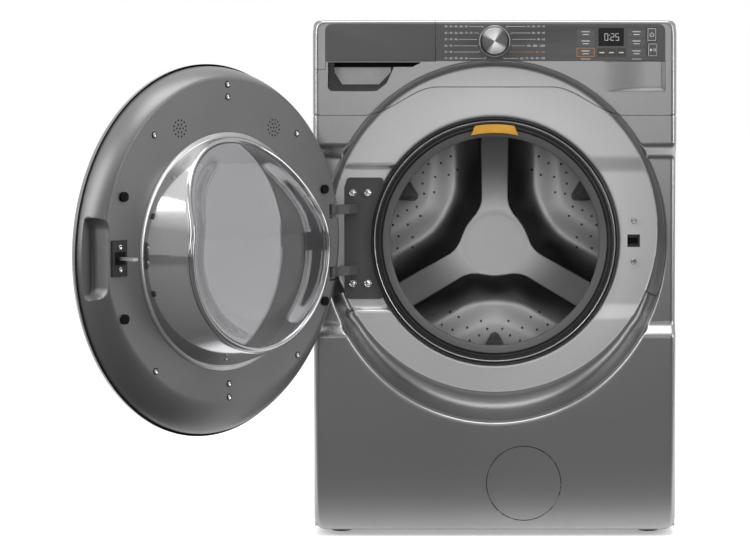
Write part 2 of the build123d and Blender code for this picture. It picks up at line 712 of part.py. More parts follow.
def latch_plate():
    """Latch cover with a cheek on each side of the hook."""
    plate = block(243, 275, PLATEAU_DEPTH + 0.2, PLATEAU_DEPTH + 4, DISH_CENTRE_Z - 31, DISH_CENTRE_Z + 31)
    plate = plate - block(248, 270, 20, 60, DISH_CENTRE_Z - 10, DISH_CENTRE_Z + 10)
    for x, z in latch_screw_places():
        plate = plate - disc(2.4, x, z, 30, 60)
    pin = upright(2, 260, PLATEAU_DEPTH - 4, DISH_CENTRE_Z - 16, DISH_CENTRE_Z + 16)
    for side in (-1, 1):
        mid = DISH_CENTRE_Z + side * 13
        cheek = block(255, 265, PLATEAU_DEPTH - 8, PLATEAU_DEPTH + 1, mid - 2, mid + 2)
        plate = plate + cheek
    return swing(plate + pin)


def latch_hook():
    """Sprung hook that turns a little on its pin and drops behind the lock's striker."""
    z0 = DISH_CENTRE_Z - 2.7
    z1 = DISH_CENTRE_Z + 2.7
    boss = upright(5, 260, PLATEAU_DEPTH - 4, z0, z1)
    stem = block(256.5, 263.5, PLATEAU_DEPTH - 3, 80, z0, z1)
    barb = block(263, 267.5, 70, 80, z0, z1)
    hook = boss + stem + barb
    return swing(hook - upright(2.08, 260, PLATEAU_DEPTH - 4, z0 - 1, z1 + 1))


# ---- fixed side of the hinge and the lock -----------------------------------
def hinge_plate():
    """Cover plate on the dish floor with two gooseneck lugs."""
    d0 = POCKET_DEPTH - 4
    d1 = POCKET_DEPTH
    outline = make_face(Polyline((-288, 466), (-282, 446), (-213, 446), (-213, 466), (-234, 522),
                                 (-234, 603), (-213, 659), (-213, 679), (-282, 679), (-288, 659),
                                 (-288, 466)))
    plate = prism(fillet(outline.vertices(), 7), d0, d1)
    for z in LUG_Z:
        plate = plate + hinge_lug(z)
    for x, z in hinge_screw_places():
        plate = plate - disc(2.8, x, z, d0 - 5, d1 + 5)
    return plate


def hinge_lug(z):
    """One fixed arm that curves from the plate to its pivot eye."""
    half = LUG_HEIGHT / 2
    path = [(-268, POCKET_DEPTH - 7), (-268, 52), (-281, 30), (-300, 12), (HINGE_X, HINGE_DEPTH)]
    arm = None
    for (x0, y0), (x1, y1) in zip(path[0:-1], path[1:]):
        length = sqrt((x1 - x0) ** 2 + (y1 - y0) ** 2)
        middle = Pos((x0 + x1) / 2, FRONT + (y0 + y1) / 2, z)
        plane = Plane(middle.position, x_dir=(x1 - x0, y1 - y0, 0), z_dir=(0, 0, 1))
        bar = extrude(plane * SlotCenterToCenter(length, 13), amount=half, both=True)
        arm = bar if arm is None else arm + bar
    arm = arm + upright(LUG_EYE_RADIUS, HINGE_X, HINGE_DEPTH, z - half, z + half)
    return arm - upright(PIN_RADIUS + PIN_CLEARANCE, HINGE_X, HINGE_DEPTH, z - 20, z + 20)


def hinge_screw_places():
    return [(x, z) for x in (-272, -243) for z in (476, 650)]


def door_lock():
    """Electric door lock behind the strike slot."""
    body = block(238, 294, DISH_DEPTH + 10, DISH_DEPTH + 34, 512, 604)
    slot = block(252, 274, DISH_DEPTH, DISH_DEPTH + 30, SLOT_Z - 6, SLOT_Z + 6)
    face = strike_slot(DISH_DEPTH + 4, DISH_DEPTH + 10)
    return body + face - slot


# ---- cabinet ----------------------------------------------------------------
def side_panel(side):
    """Sheet steel side with turned-in flanges at the bottom and the back."""
    low = FOOT_HEIGHT + 3
    high = CABINET_TOP - 21
    x0 = side * HALF
    x1 = side * (HALF - SHEET)
    x2 = side * (HALF - 18)
    left, right = min(x0, x1), max(x0, x1)
    sheet = block(left, right, FRONT_DEPTH + 0.5, CABINET_DEPTH - 3, low, high)
    bottom = block(min(x0, x2), max(x0, x2), FRONT_DEPTH + 0.5, CABINET_DEPTH - 3, low, low + 2)
    rear = block(min(x0, x2), max(x0, x2), CABINET_DEPTH - 5, CABINET_DEPTH - 3, low, high)
    return sheet + bottom + rear


def top_panel():
    """Worktop with rounded edges, hollow underneath."""
    lid = block(-HALF, HALF, FRONT_DEPTH + 0.5, CABINET_DEPTH, CABINET_TOP - 20, CABINET_TOP)
    long_edges = lid.edges().filter_by(Axis.Y).filter_by_position(Axis.Z, CABINET_TOP - 1, CABINET_TOP + 1)
    lid = fillet(long_edges, 12)
    return lid - block(-HALF + 14, HALF - 14, FRONT_DEPTH + 3, CABINET_DEPTH - 3, CABINET_TOP - 25,
                       CABINET_TOP - 3)


def rear_panel():
    """Back sheet with the service opening and cut-outs for valve, drain and cord."""
    d0 = CABINET_DEPTH - 2.8
    sheet = block(-HALF + 1, HALF - 1, d0, CABINET_DEPTH - 1, FOOT_HEIGHT + 3, CABINET_TOP - 21)
    sheet = sheet - block(-SERVICE_HALF, SERVICE_HALF, d0 - 5, CABINET_DEPTH + 5, *SERVICE_Z)
    sheet = sheet - block(-264, -176, d0 - 5, CABINET_DEPTH + 5, INLET_Z - 22, INLET_Z + 22)
    sheet = sheet - disc(17, REAR_PORT_X, DRAIN_Z, d0 - 5, CABINET_DEPTH + 5)
    sheet = sheet - disc(11, REAR_PORT_X, CORD_Z, d0 - 5, CABINET_DEPTH + 5)
    for x, z in cover_screw_places():
        sheet = sheet - disc(2.9, x, z, d0 - 5, CABINET_DEPTH + 5)
    for x, z in rear_rib_places():
        sheet = sheet + block(x - 6, x + 6, CABINET_DEPTH - 2, CABINET_DEPTH + 1, z - 90, z + 90)
    return sheet


def rear_rib_places():
    return [(x, z) for x in (-270, 270) for z in (180, 500)]


def rear_access_cover():
    """Screwed cover over the pulley, with two stiffening beads."""
    cover = block(-SERVICE_HALF - 15, SERVICE_HALF + 15, CABINET_DEPTH - 0.8, CABINET_DEPTH + 1.2,
                  SERVICE_Z[0] - 15, SERVICE_Z[1] + 15)
    for radius in (150, 90):
        bead = ring(radius, radius - 12, 0, sum(SERVICE_Z) / 2, CABINET_DEPTH + 1, CABINET_DEPTH + 4)
        cover = cover + bead
    for x, z in cover_screw_places():
        cover = cover - disc(2.8, x, z, CABINET_DEPTH - 5, CABINET_DEPTH + 5)
    return cover


def cover_screw_places():
    reach = SERVICE_HALF + 7
    return [(x, z) for x in (-reach, 0, reach) for z in (SERVICE_Z[0] - 7, SERVICE_Z[1] + 7)]


def base_pan():
    """Drip pan that carries the damper feet and the levelling nuts."""
    x = HALF - SHEET - 1
    d0 = FRONT_DEPTH + 1
    d1 = CABINET_DEPTH - 6
    low = PAN_LOW
    hollow = block(-x + SHEET, x - SHEET, d0 + SHEET, d1 - SHEET, low + SHEET, 100)
    pan = block(-x, x, d0, d1, low, low + 30) - hollow
    for px, pd in foot_places():
        pan = pan + upright(12, px, pd, low, low + 18) - upright(5.08, px, pd, low - 5, low + 30)
    return pan


def foot_places():
    return [(x, d) for x in (-295, 295) for d in (75, 690)]


def foot(x, depth):
    """Levelling foot: soft pad, hexagon collar and stud."""
    pad = upright(19, x, depth, 0, 9)
    collar = Pos(x, FRONT + depth, 9) * extrude(RegularPolygon(10, 6), amount=9)
    stud = upright(5, x, depth, 17, 58)
    return pad + collar + stud


def cabinet_screws():
    """Hex and pan heads: hinge plate, strike, rear cover and top panel."""
    screws = []
    for x, z in hinge_screw_places():
        d0 = POCKET_DEPTH - 4
        screws.append(disc(6.8, x, z, d0 - 2.6, d0) + disc(2.7, x, z, d0 - 1, d0 + 14))
    for side in (-39, 39):
        z = SLOT_Z + side
        screws.append(disc(5.6, SLOT_X, z, DISH_DEPTH - 1.8, DISH_DEPTH) + disc(3, SLOT_X, z, 61, 71))
    for x, z in cover_screw_places():
        back = CABINET_DEPTH + 1.2
        screws.append(disc(5, x, z, back, back + 3) + disc(2.7, x, z, CABINET_DEPTH - 8, back + 1))
    return group(screws)


def suspension_springs():
    """Four tub springs, drawn as sleeves with hook eyes, hung from the cabinet's top corners."""
    springs = []
    for x in (-272, 272):
        for depth in (200, 420):
            coil = upright(13, x, depth, 748, 850) - upright(10, x, depth, 740, 860)
            hook = upright(3, x, depth, 848, 886) + upright(13, x, depth, 847, 850)
            far = x + (68 if x > 0 else -68)
            arm = block(min(x, far), max(x, far), depth - 8, depth + 8, 884, 890)
            springs.append(coil + hook + upright(13, x, depth, 748, 751) + arm)
    return group(springs)


def suspension_dampers():
    """Four friction dampers between the pan and the tub's lower corners."""
    dampers = []
    for x in (-215, 215):
        for depth in (190, 470):
            place = Pos(x, FRONT + depth, 32) * Rot(0, -8 if x > 0 else 8, 0)
            barrel = place * Pos(0, 0, 75) * Cylinder(17, 130)
            rod = place * Pos(0, 0, 180) * Cylinder(7, 80)
            dampers.append(barrel + rod)
    return group(dampers)


def drain_pump():
    """Pump with its filter housing, which opens behind the round cover."""
    housing = disc(46, FILTER_X, FILTER_Z, 34, 150) - disc(36, FILTER_X, FILTER_Z, 30, 140)
    motor = disc(34, FILTER_X, FILTER_Z, 149, 215)
    inlet = upright(20, FILTER_X, 100, FILTER_Z + 40, FILTER_Z + 62)
    outlet = disc(13, FILTER_X + 66, FILTER_Z - 20, 110, 160)
    neck = block(FILTER_X + 40, FILTER_X + 66, 112, 136, FILTER_Z - 30, FILTER_Z - 10)
    neck = neck - disc(40, FILTER_X, FILTER_Z, 100, 150)
    body = housing + motor + inlet + outlet + neck
    return body - upright(16, FILTER_X, 100, FILTER_Z + 20, FILTER_Z + 70)


def filter_cap():
    """Quarter-turn cap of the pump filter, with a grip bar and a lint basket."""
    cap = disc(35.6, FILTER_X, FILTER_Z, 36, 44)
    bar = block(FILTER_X - 28, FILTER_X + 28, 20, 37, FILTER_Z - 5, FILTER_Z + 5)
    basket = ring(30, 27, FILTER_X, FILTER_Z, 43, 110)
    for turn in (0, 90, 180, 270):
        window = Pos(FILTER_X, FRONT + 78, FILTER_Z) * Rot(0, turn, 0) * Pos(30, 0, 0) * Box(20, 50, 22)
        basket = basket - window
    return cap + bar + basket


def filter_cover():
    """Round flush cover that pulls straight off, held by four tongues in the collar."""
    cover = disc(FILTER_RADIUS, FILTER_X, FILTER_Z, 0, SHEET)
    tongues = ring(FILTER_RADIUS + 1.2, FILTER_RADIUS - 1.8, FILTER_X, FILTER_Z, SHEET - 0.5,
                   FILTER_COLLAR_END - 2)
    half = FILTER_TONGUE_WIDTH / 2
    upright_bar = block(FILTER_X - half, FILTER_X + half, 0, 40, FILTER_Z - 80, FILTER_Z + 80)
    level_bar = block(FILTER_X - 80, FILTER_X + 80, 0, 40, FILTER_Z - half, FILTER_Z + half)
    return cover + (tongues & (upright_bar + level_bar))


def sump_hose():
    """Corrugated hose from the tub's sump to the pump."""
    route = FilletPolyline((FILTER_X, FRONT + 330, 211), (FILTER_X, FRONT + 330, 185),
                           (FILTER_X, FRONT + 100, 185), (FILTER_X, FRONT + 100, 164), radius=20)
    start = Plane(origin=route @ 0, z_dir=route % 0)
    outside = sweep(start * Circle(19), path=route)
    inside = sweep(start * Circle(15.5), path=route)
    return outside - inside


def drain_hose():
    """Hose from the pump to the outlet at the back."""
    x = FILTER_X + 66
    z = FILTER_Z - 20
    route = FilletPolyline((x, FRONT + 160.5, z), (x, FRONT + 250, z), (250, FRONT + 400, z),
                           (250, FRONT + 690, z), (250, FRONT + 690, 779), radius=60)
    start = Plane(origin=route @ 0, z_dir=route % 0)
    return sweep(start * Circle(12), path=route)


def drain_outlet():
    """Elbow port on the back for the outlet hose."""
    port = disc(14, 250, 800, 676, 765) - disc(10.5, 250, 800, 700, 770)
    collar = disc(20, 250, 800, CABINET_DEPTH + 0.2, CABINET_DEPTH + 4)
    return port + collar + upright(12.6, 250, 690, 780, 795) - disc(10.5, 250, 800, 705, 770)


def inlet_valve():
    """Twin water valve with two 3/4 inch threaded ports."""
    body = block(-262, -178, 690, 736, 890, 930)
    plate = block(-270, -170, CABINET_DEPTH + 0.2, CABINET_DEPTH + 3, 882, 938)
    valve = body + plate + block(-250, -190, 735, 741, 900, 920)
    for x in (-240, -200):
        port = disc(13.2, x, 910, 738, 768)
        valve = valve + port
    for x in (-240, -200):
        valve = valve - disc(9.5, x, 910, 744, 780)
    return valve + disc(9, -230, 945, 690, 712) + block(-239, -221, 692, 712, 928, 946)


def fill_hose():
    """Straight hose from the valve to the dispenser."""
    return ring(9, 6.5, -230, 945, 345.3, 689.7)


def dispenser_hose():
    """Hose from the dispenser down to the tub."""
    return upright(20, -150, 250, 842.3, 887.7) - upright(16, -150, 250, 830, 900)


def inner_hoses():
    """The machine's four hoses: sump, drain, fill and dispenser."""
    return group([sump_hose(), drain_hose(), fill_hose(), dispenser_hose()])


def cord_gland():
    """Strain-relief socket for the mains lead."""
    flange = disc(15, 250, 880, CABINET_DEPTH + 0.2, CABINET_DEPTH + 4)
    neck = disc(10.6, 250, 880, CABINET_DEPTH - 12, CABINET_DEPTH + 12)
    return flange + neck - disc(4.5, 250, 880, 700, 800)


# ---- write every sub-part -----------------------------------------------------
def main():
    os.makedirs("parts", exist_ok=True)
    save("front_panel", front_panel())
    save("console_fascia", console_fascia())
    save("control_overlay", control_overlay())
    save("display_lens", display_lens())
    save("control_board", control_board())
    save("cycle_knob", cycle_knob())
    save("power_button", push_button(POWER_X, POWER_Z))
    save("start_button", push_button(START_X, START_Z))
    save("drawer_front", drawer_front())
    save("drawer_tray", drawer_tray())
    save("siphon_caps", siphon_caps())
    save("dispenser_housing", dispenser_housing())
    save("drum_basket", drum_basket())
    save("drum_back", drum_back())
    save("drum_lifters", drum_lifters())
    save("drum_spider", drum_spider())
    save("drum_pulley", drum_pulley())
    save("tub_front", tub_front())
    save("tub_rear", tub_rear())
    save("drum_bearings", drum_bearings())
    save("shaft_seal", shaft_seal())
    save("heating_element", heating_element())
    save("drive_motor", drive_motor())
    save("motor_pulley", motor_pulley())
    save("drive_belt", drive_belt())
    save("counterweights", counterweights())
    save("door_gasket", door_gasket())
    save("gasket_clamp", gasket_clamp())
    save("gasket_tab", gasket_tab())
    save("door_outer_ring", door_outer_ring())
    save("door_window", door_window())
    save("door_inner_panel", door_inner_panel())
    save("door_glass", door_glass())
    save("door_hinge_bracket", door_hinge_bracket())
    save("door_screws", door_screws())
    save("door_bumpers", door_bumpers())
    save("latch_plate", latch_plate())
    save("latch_hook", latch_hook())
    save("hinge_plate", hinge_plate())
    save("door_lock", door_lock())
    save("left_side_panel", side_panel(-1))
    save("right_side_panel", side_panel(1))
    save("top_panel", top_panel())
    save("rear_panel", rear_panel())
    save("rear_access_cover", rear_access_cover())
    save("base_pan", base_pan())
    save("cabinet_screws", cabinet_screws())
    save("suspension_springs", suspension_springs())
    save("suspension_dampers", suspension_dampers())
    save("drain_pump", drain_pump())
    save("filter_cap", filter_cap())
    save("filter_cover", filter_cover())
    save("inner_hoses", inner_hoses())
    save("drain_outlet", drain_outlet())
    save("inlet_valve", inlet_valve())
    save("cord_gland", cord_gland())
    for index, (x, depth) in enumerate(foot_places()):
        save(f"foot_{index + 1}", foot(x, depth))


main()
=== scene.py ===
import math

import bmesh
import bpy
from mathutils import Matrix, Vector


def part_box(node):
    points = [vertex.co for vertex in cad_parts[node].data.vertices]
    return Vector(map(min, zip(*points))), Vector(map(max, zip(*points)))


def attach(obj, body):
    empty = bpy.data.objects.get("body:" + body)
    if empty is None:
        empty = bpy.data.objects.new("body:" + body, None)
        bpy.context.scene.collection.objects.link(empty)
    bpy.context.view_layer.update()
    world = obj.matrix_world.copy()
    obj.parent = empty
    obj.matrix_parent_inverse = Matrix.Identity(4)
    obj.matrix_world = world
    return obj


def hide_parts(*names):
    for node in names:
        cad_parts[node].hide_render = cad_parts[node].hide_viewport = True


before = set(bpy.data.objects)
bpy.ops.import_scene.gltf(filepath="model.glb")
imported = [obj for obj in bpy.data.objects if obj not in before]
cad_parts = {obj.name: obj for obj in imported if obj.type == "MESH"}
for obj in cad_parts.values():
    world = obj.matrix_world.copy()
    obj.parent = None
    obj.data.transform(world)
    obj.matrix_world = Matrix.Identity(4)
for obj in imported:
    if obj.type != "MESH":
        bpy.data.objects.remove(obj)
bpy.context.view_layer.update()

# Front load washing machine. Shapes are worked out in millimetres as (x, depth, z), where
# depth runs back from the plane of the front panel, and become metres in `place`.
MM = 0.001
FRONT_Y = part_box("front_panel")[0][1]
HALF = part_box("front_panel")[1][0] / MM
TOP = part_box("console_fascia")[1][2] / MM
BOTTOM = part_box("front_panel")[0][2] / MM
CABINET_CORNER = 24.0

DISH_X, DISH_Z = 324.0, 341.0            # half axes of the dish's mouth
CENTRE_Z = 557.5
FLOOR_RADIUS, FLOOR_Z = 309.6, 580.0
DISH_DEPTH = 62.0
LIP_ROUND, LIP_DROP = 5.0, 3.5
OPENING_RADIUS, OPENING_Z = 237.0, 557.0
WAIST_DEPTH = 18.0
WAIST_Z = (379.0, 406.0, 716.0, 745.0)
POCKET_Z = (422.0, 705.0)
SEAM_Z, SEAM_PEAK_Z = 798.0, 852.0
SEAM_X = (110.0, 248.0)
SEAM_GAP = 0.7
FLANGE_DEPTH = 29.5
FRONT_RAYS = 900
SNAP_REACH = 12.0                        # longest edge whose end may move onto an outline
FILTER_X, FILTER_Z, FILTER_RADIUS, FILTER_GAP = 55.0, 101.0, 69.75, 1.5
STRIKE_X, STRIKE_Z, STRIKE_HALF = 266.0, 558.0, 12.0
STRIKE_SCREW_OFFSET = 39
HINGE_SCREW_X, HINGE_SCREW_Z = (-272, -243), (476, 650)

RIM_X, RIM_Z = 314.2, 332.6              # half axes of the door
PLATEAU_RADIUS, PLATEAU_Z, PLATEAU_DEPTH = 290.0, 577.5, 35.0
DOOR_ANGLE = -math.radians(129)
HINGE_X, HINGE_DEPTH = -308.0, -2.0
BOWL_RADIUS, BOWL_TIP, BOWL_DEPTH = 207.0, 173.0, 90.0
BOWL_BASE = PLATEAU_DEPTH - 3.0
BOWL_WALL = 5.5
LUG_Z = (620.0, 503.0)
DOOR_SCREWS = [(x, CENTRE_Z + w) for x, w in (
    (-176, 208), (176, 208), (-176, -199), (176, -199), (0, 296), (0, 274), (0, -236), (0, -260))]
LATCH_X, LATCH_RISE = 259, 4.0
LATCH_SCREWS = [(LATCH_X, CENTRE_Z - 19), (LATCH_X, CENTRE_Z + 19)]

DRUM_TILT = math.radians(3.6)
DRUM_RADIUS = 275.5
STAR_START, SECTOR_START = 505.0, 538.6
HUB_RADIUS, SPOKE_HALF = 71.0, 28.0
SPOKES, SECTORS = (90, 210, 330), (30, 150, 270)
HOLES = ((221, (-20, 20)), (215, (-14.5, -4.2, 4.2, 14.5)), (206, (-26, 26)), (200, (-9.5, 0, 9.5)),
         (190, (-18, 18)), (184, (-5, 5)), (169, (-10, 10)), (176, (-26, -33, 26, 33)), (208, (-33, 33)))

STRIP_X = (-319.0, -110.6, 321.0)
STRIP_Z = (900.0, 970.0)
DRAWER_END = -111.4                      # right end of the drawer's strip
DRAWER_LOW = 885.0
RECESS_X, RECESS_Z = (190.0, 322.0), (843.0, 899.9)
RECESS_DEPTH = 4.0
KNOB_Z = 937.0
PRINT_DEPTH = -0.35
KEY_PRINT_DEPTH = -1.95
KNOB_PRINT_DEPTH = -25.75
TEXT_SIZE = 3.7 * 1.38
GRAIN_HEIGHT = 0.0005                    # metres

CAMERA_DISTANCE = 4.480
CAMERA_HEIGHT = 0.8117
CAMERA_PITCH = math.radians(2.4)


# ---- mesh helpers ----
def place(x, d, z):
    return (x * MM, FRONT_Y + d * MM, z * MM)


def where(co):
    """A mesh point in millimetres (x, depth, z)."""
    return co.x / MM, (co.y - FRONT_Y) / MM, co.z / MM


def swing(point):
    """A closed-door point (x, depth, z) at the open position."""
    x, d, z = point
    u, v = x - HINGE_X, d - HINGE_DEPTH
    c, s = math.cos(DOOR_ANGLE), math.sin(DOOR_ANGLE)
    return (HINGE_X + u * c - v * s, HINGE_DEPTH + u * s + v * c, z)


def on_axis(point):
    """A point (x, distance along the drum axis, z from the axis) in (x, depth, z)."""
    x, a, z = point
    c, s = math.cos(DRUM_TILT), math.sin(DRUM_TILT)
    return (x, DISH_DEPTH + a * c + z * s, OPENING_Z - a * s + z * c)


def same(point):
    return point


def smooth(t):
    t = min(max(t, 0.0), 1.0)
    return t * t * (3 - 2 * t)


def lerp(a, b, t):
    return a + (b - a) * t


def soft_min(a, b, k):
    h = max(k - abs(a - b), 0.0) / k
    return min(a, b) - h * h * k / 4


def spread(stops):
    """Stops of (value, samples to the next stop) as one rising list."""
    values = []
    for (a, count), (b, _) in zip(stops, stops[1:]):
        values += [lerp(a, b, k / count) for k in range(count)]
    return values + [stops[-1][0]]


def polar(r, turn, d):
    """A point (x, depth, z) on a ray from the dish centre."""
    return (r * math.cos(turn), d, CENTRE_Z + r * math.sin(turn))


def angles(count):
    """One full turn in equal steps."""
    return [2 * math.pi * k / count for k in range(count)]


def place_in_scene(name, mesh, look, body):
    """An object with one material, riding on a body."""
    obj = bpy.data.objects.new(name, mesh)
    bpy.context.scene.collection.objects.link(obj)
    obj.data.materials.clear()
    obj.data.materials.append(LOOK[look])
    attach(obj, body)
    return obj


def mesh_from(bm, name, look, body, sharp=35.0):
    """A smooth shaded object from a bmesh, with sharp edges above an angle."""
    bmesh.ops.recalc_face_normals(bm, faces=bm.faces)
    mesh = bpy.data.meshes.new(name)
    bm.to_mesh(mesh)
    bm.free()
    mesh.shade_smooth()
    mesh.set_sharp_from_angle(angle=math.radians(sharp))
    return place_in_scene(name, mesh, look, body)


def bmesh_of(mesh):
    """A bmesh that takes a mesh's place."""
    bm = bmesh.new()
    bm.from_mesh(mesh)
    bpy.data.meshes.remove(mesh)
    return bm


def bmesh_from(points, faces, gap=0.01):
    """A bmesh from millimetre points, with points closer than the gap merged."""
    mesh = bpy.data.meshes.new("draft")
    mesh.from_pydata([place(*p) for p in points], [], faces)
    bm = bmesh_of(mesh)
    bmesh.ops.remove_doubles(bm, verts=bm.verts, dist=gap * MM)
    return bm


def piece(name, points, faces, look, body, move=same, sharp=35.0):
    return mesh_from(bmesh_from([move(p) for p in points], faces), name, look, body, sharp)


def grid_faces(rows, columns, closed=False):
    """Quads between rows that close round; the columns close too if asked."""
    faces = []
    for i in range(rows):
        first, second = i * columns, (i + 1) % rows * columns
        for j in range(columns if closed else columns - 1):
            k = (j + 1) % columns
            faces.append((first + j, first + k, second + k, second + j))
    return faces


def lathe(name, profile, centre, look, body, move=same, steps=160, sharp=35.0):
    """Closed profile of (radius, depth) turned about a front-to-back axis through centre (x, z)."""
    points = []
    for turn in angles(steps):
        for r, d in profile:
            points.append((centre[0] + r * math.cos(turn), d, centre[1] + r * math.sin(turn)))
    return piece(name, points, grid_faces(steps, len(profile), True), look, body, move, sharp)


def rounded_loop(x0, x1, z0, z1, radius, steps=6):
    """Corner points of a rounded rectangle; radius may be one number or four, from low left."""
    radii = radius if isinstance(radius, (list, tuple)) else (radius,) * 4
    corners = [(x0, z0, 180), (x1, z0, 270), (x1, z1, 0), (x0, z1, 90)]
    loop = []
    for (x, z, start), r in zip(corners, radii):
        cx = x + r if x == x0 else x - r
        cz = z + r if z == z0 else z - r
        for k in range(steps + 1):
            turn = math.radians(start + 90 * k / steps)
            loop.append((cx + r * math.cos(turn), cz + r * math.sin(turn)))
    return loop


def circle_loop(x, z, radius, steps=48):
    return [(x + radius * math.cos(t), z + radius * math.sin(t)) for t in angles(steps)]


def line_loop(x0, z0, x1, z1, width):
    length = math.hypot(x1 - x0, z1 - z0)
    nx, nz = -(z1 - z0) / length * width / 2, (x1 - x0) / length * width / 2
    return [(x0 + nx, z0 + nz), (x1 + nx, z1 + nz), (x1 - nx, z1 - nz), (x0 - nx, z0 - nz)]


def frame_loops(x0, x1, z0, z1, width):
    return [line_loop(x0, z0, x1, z0, width), line_loop(x0, z1, x1, z1, width),
            line_loop(x0, z0, x0, z1, width), line_loop(x1, z0, x1, z1, width)]


def filled(curve):
    """The mesh of a curve or of a text."""
    holder = bpy.data.objects.new("draft", curve)
    bpy.context.scene.collection.objects.link(holder)
    mesh = bpy.data.meshes.new_from_object(holder)
    bpy.data.objects.remove(holder)
    return mesh


def plate(name, loops, d0, d1, look, body="cabinet", bevel=0.0, move=same):
    """Flat plate between two depths, with holes and a rounded edge."""
    curve = bpy.data.curves.new("plate", "CURVE")
    curve.dimensions = "2D"
    curve.fill_mode = "BOTH"
    curve.extrude = ((d1 - d0) / 2 - bevel) * MM
    curve.bevel_depth = bevel * MM
    curve.bevel_resolution = 2
    curve.offset = -bevel * MM
    for loop in loops:
        spline = curve.splines.new("POLY")
        spline.points.add(len(loop) - 1)
        for point, (x, z) in zip(spline.points, loop):
            point.co = (x * MM, z * MM, 0, 1)
        spline.use_cyclic_u = True
    bm = bmesh_of(filled(curve))
    middle = (d0 + d1) / 2
    for v in bm.verts:
        v.co = place(*move((v.co.x / MM, middle - v.co.z / MM, v.co.y / MM)))
    bmesh.ops.remove_doubles(bm, verts=bm.verts, dist=0.005 * MM)
    return mesh_from(bm, name, look, body)


def join(name, objects):
    """Merge pieces of one body and one material into one object."""
    base = objects[0]
    bm = bmesh.new()
    for obj in objects:
        bm.from_mesh(obj.data)
    bm.to_mesh(base.data)
    bm.free()
    for obj in objects[1:]:
        bpy.data.objects.remove(obj)
    base.name = name
    return base


# ---- materials ----
def nodes_of(name):
    material = bpy.data.materials.new(name)
    material.use_nodes = True
    tree = material.node_tree
    return material, tree, tree.nodes["Principled BSDF"]


def feed(tree, made, inputs):
    """Fill a node's inputs: a socket is linked, anything else is a value."""
    for key, value in inputs.items():
        if isinstance(value, bpy.types.NodeSocket):
            tree.links.new(value, made.inputs[key])
        else:
            made.inputs[key].default_value = value
    return made


def node(tree, kind, inputs):
    return feed(tree, tree.nodes.new("ShaderNode" + kind), inputs)


def calculate(tree, operation, *values):
    made = node(tree, "Math", dict(enumerate(values)))
    made.operation = operation
    return made.outputs["Value"]


def axes(tree, vector):
    return node(tree, "SeparateXYZ", {"Vector": vector}).outputs


def coordinates(tree, kind="Object"):
    return node(tree, "TexCoord", {}).outputs[kind]


def noise(tree, scale, detail, stretch=None):
    """Noise in object space, optionally stretched along the axes."""
    vector = coordinates(tree)
    if stretch:
        vector = node(tree, "Mapping", {"Vector": vector, "Scale": stretch}).outputs["Vector"]
    return node(tree, "TexNoise", {"Vector": vector, "Scale": scale, "Detail": detail}).outputs["Fac"]


def grey(value):
    """A colour; one number stands for a grey with a trace of blue."""
    return value if isinstance(value, tuple) else (value, value, value * 1.01)


def ramp(tree, factor, low, high):
    """Blend of two colours as the factor goes from 0.3 to 0.7."""
    made = node(tree, "ValToRGB", {"Fac": factor})
    first, last = made.color_ramp.elements
    first.color, first.position = (*grey(low), 1), 0.3
    last.color, last.position = (*grey(high), 1), 0.7
    return made.outputs["Color"]


def span(tree, value, low, high, start=0.0, end=1.0):
    """Map a value from start..end to low..high."""
    limits = {"Value": value, "From Min": start, "From Max": end, "To Min": low, "To Max": high}
    return node(tree, "MapRange", limits).outputs["Result"]


def surface(name, low, high, rough, metallic=0.0, scale=40.0, grain=900.0, strength=0.05,
            stretch=None, specular=0.5):
    """Base colour that drifts between two tones, with uneven gloss and a fine grain."""
    material, tree, shader = nodes_of(name)
    broad = noise(tree, scale, 4.0, stretch)
    fine = noise(tree, grain, 2.0, stretch)
    relief = node(tree, "Bump", {"Strength": strength, "Distance": GRAIN_HEIGHT, "Height": fine})
    feed(tree, shader, {"Base Color": ramp(tree, broad, low, high), "Metallic": metallic,
                        "Roughness": span(tree, fine, *rough), "Specular IOR Level": specular,
                        "Normal": relief.outputs["Normal"]})
    return material


def glass(name, clear_share, rough, gloss, metallic, clear):
    """Thin glass: a clear layer mixed with a glossy one, glossier where the surface turns away."""
    material, tree, shader = nodes_of(name)
    layer = node(tree, "BsdfTransparent", {"Color": (*grey(clear), 1)})
    facing = node(tree, "LayerWeight", {"Blend": 0.35})
    feed(tree, shader, {"Base Color": (*grey(gloss), 1), "Metallic": metallic,
                        "Roughness": span(tree, noise(tree, 60.0, 2.0), rough * 0.7, rough * 1.3)})
    share = span(tree, facing.outputs["Facing"], 1 - clear_share, 1.3 - clear_share)
    blend = node(tree, "MixShader", {"Fac": share, 1: layer.outputs["BSDF"], 2: shader.outputs["BSDF"]})
    feed(tree, tree.nodes["Material Output"], {"Surface": blend.outputs["Shader"]})
    return material


def spun_metal():
    """Turned knob face: fine circular grooves, with a painted highlight: the base colour is brighter in two
    opposite sectors, standing in for the bow-tie reflection of the turned face.
    """
    material, tree, shader = nodes_of("spun_metal")
    centred = node(tree, "Mapping", {"Vector": coordinates(tree), "Location": (0, 0, -KNOB_Z * MM)})
    sides = axes(tree, centred.outputs["Vector"])
    # Painted highlight: the colour follows the angle round the knob and is brightest in two opposite
    # sectors.
    turn = calculate(tree, "ARCTAN2", sides["X"], sides["Z"])
    wave = calculate(tree, "COSINE", calculate(tree, "MULTIPLY_ADD", turn, 2.0, 0.5))
    shade = calculate(tree, "MULTIPLY_ADD", wave, 0.5, 0.5)
    tangent = node(tree, "Tangent", {})
    tangent.direction_type = "RADIAL"
    tangent.axis = "Y"
    feed(tree, shader, {"Base Color": ramp(tree, shade, 0.16, 0.85), "Metallic": 1.0, "Roughness": 0.3,
                        "Anisotropic": 0.85, "Tangent": tangent.outputs["Tangent"]})
    return material


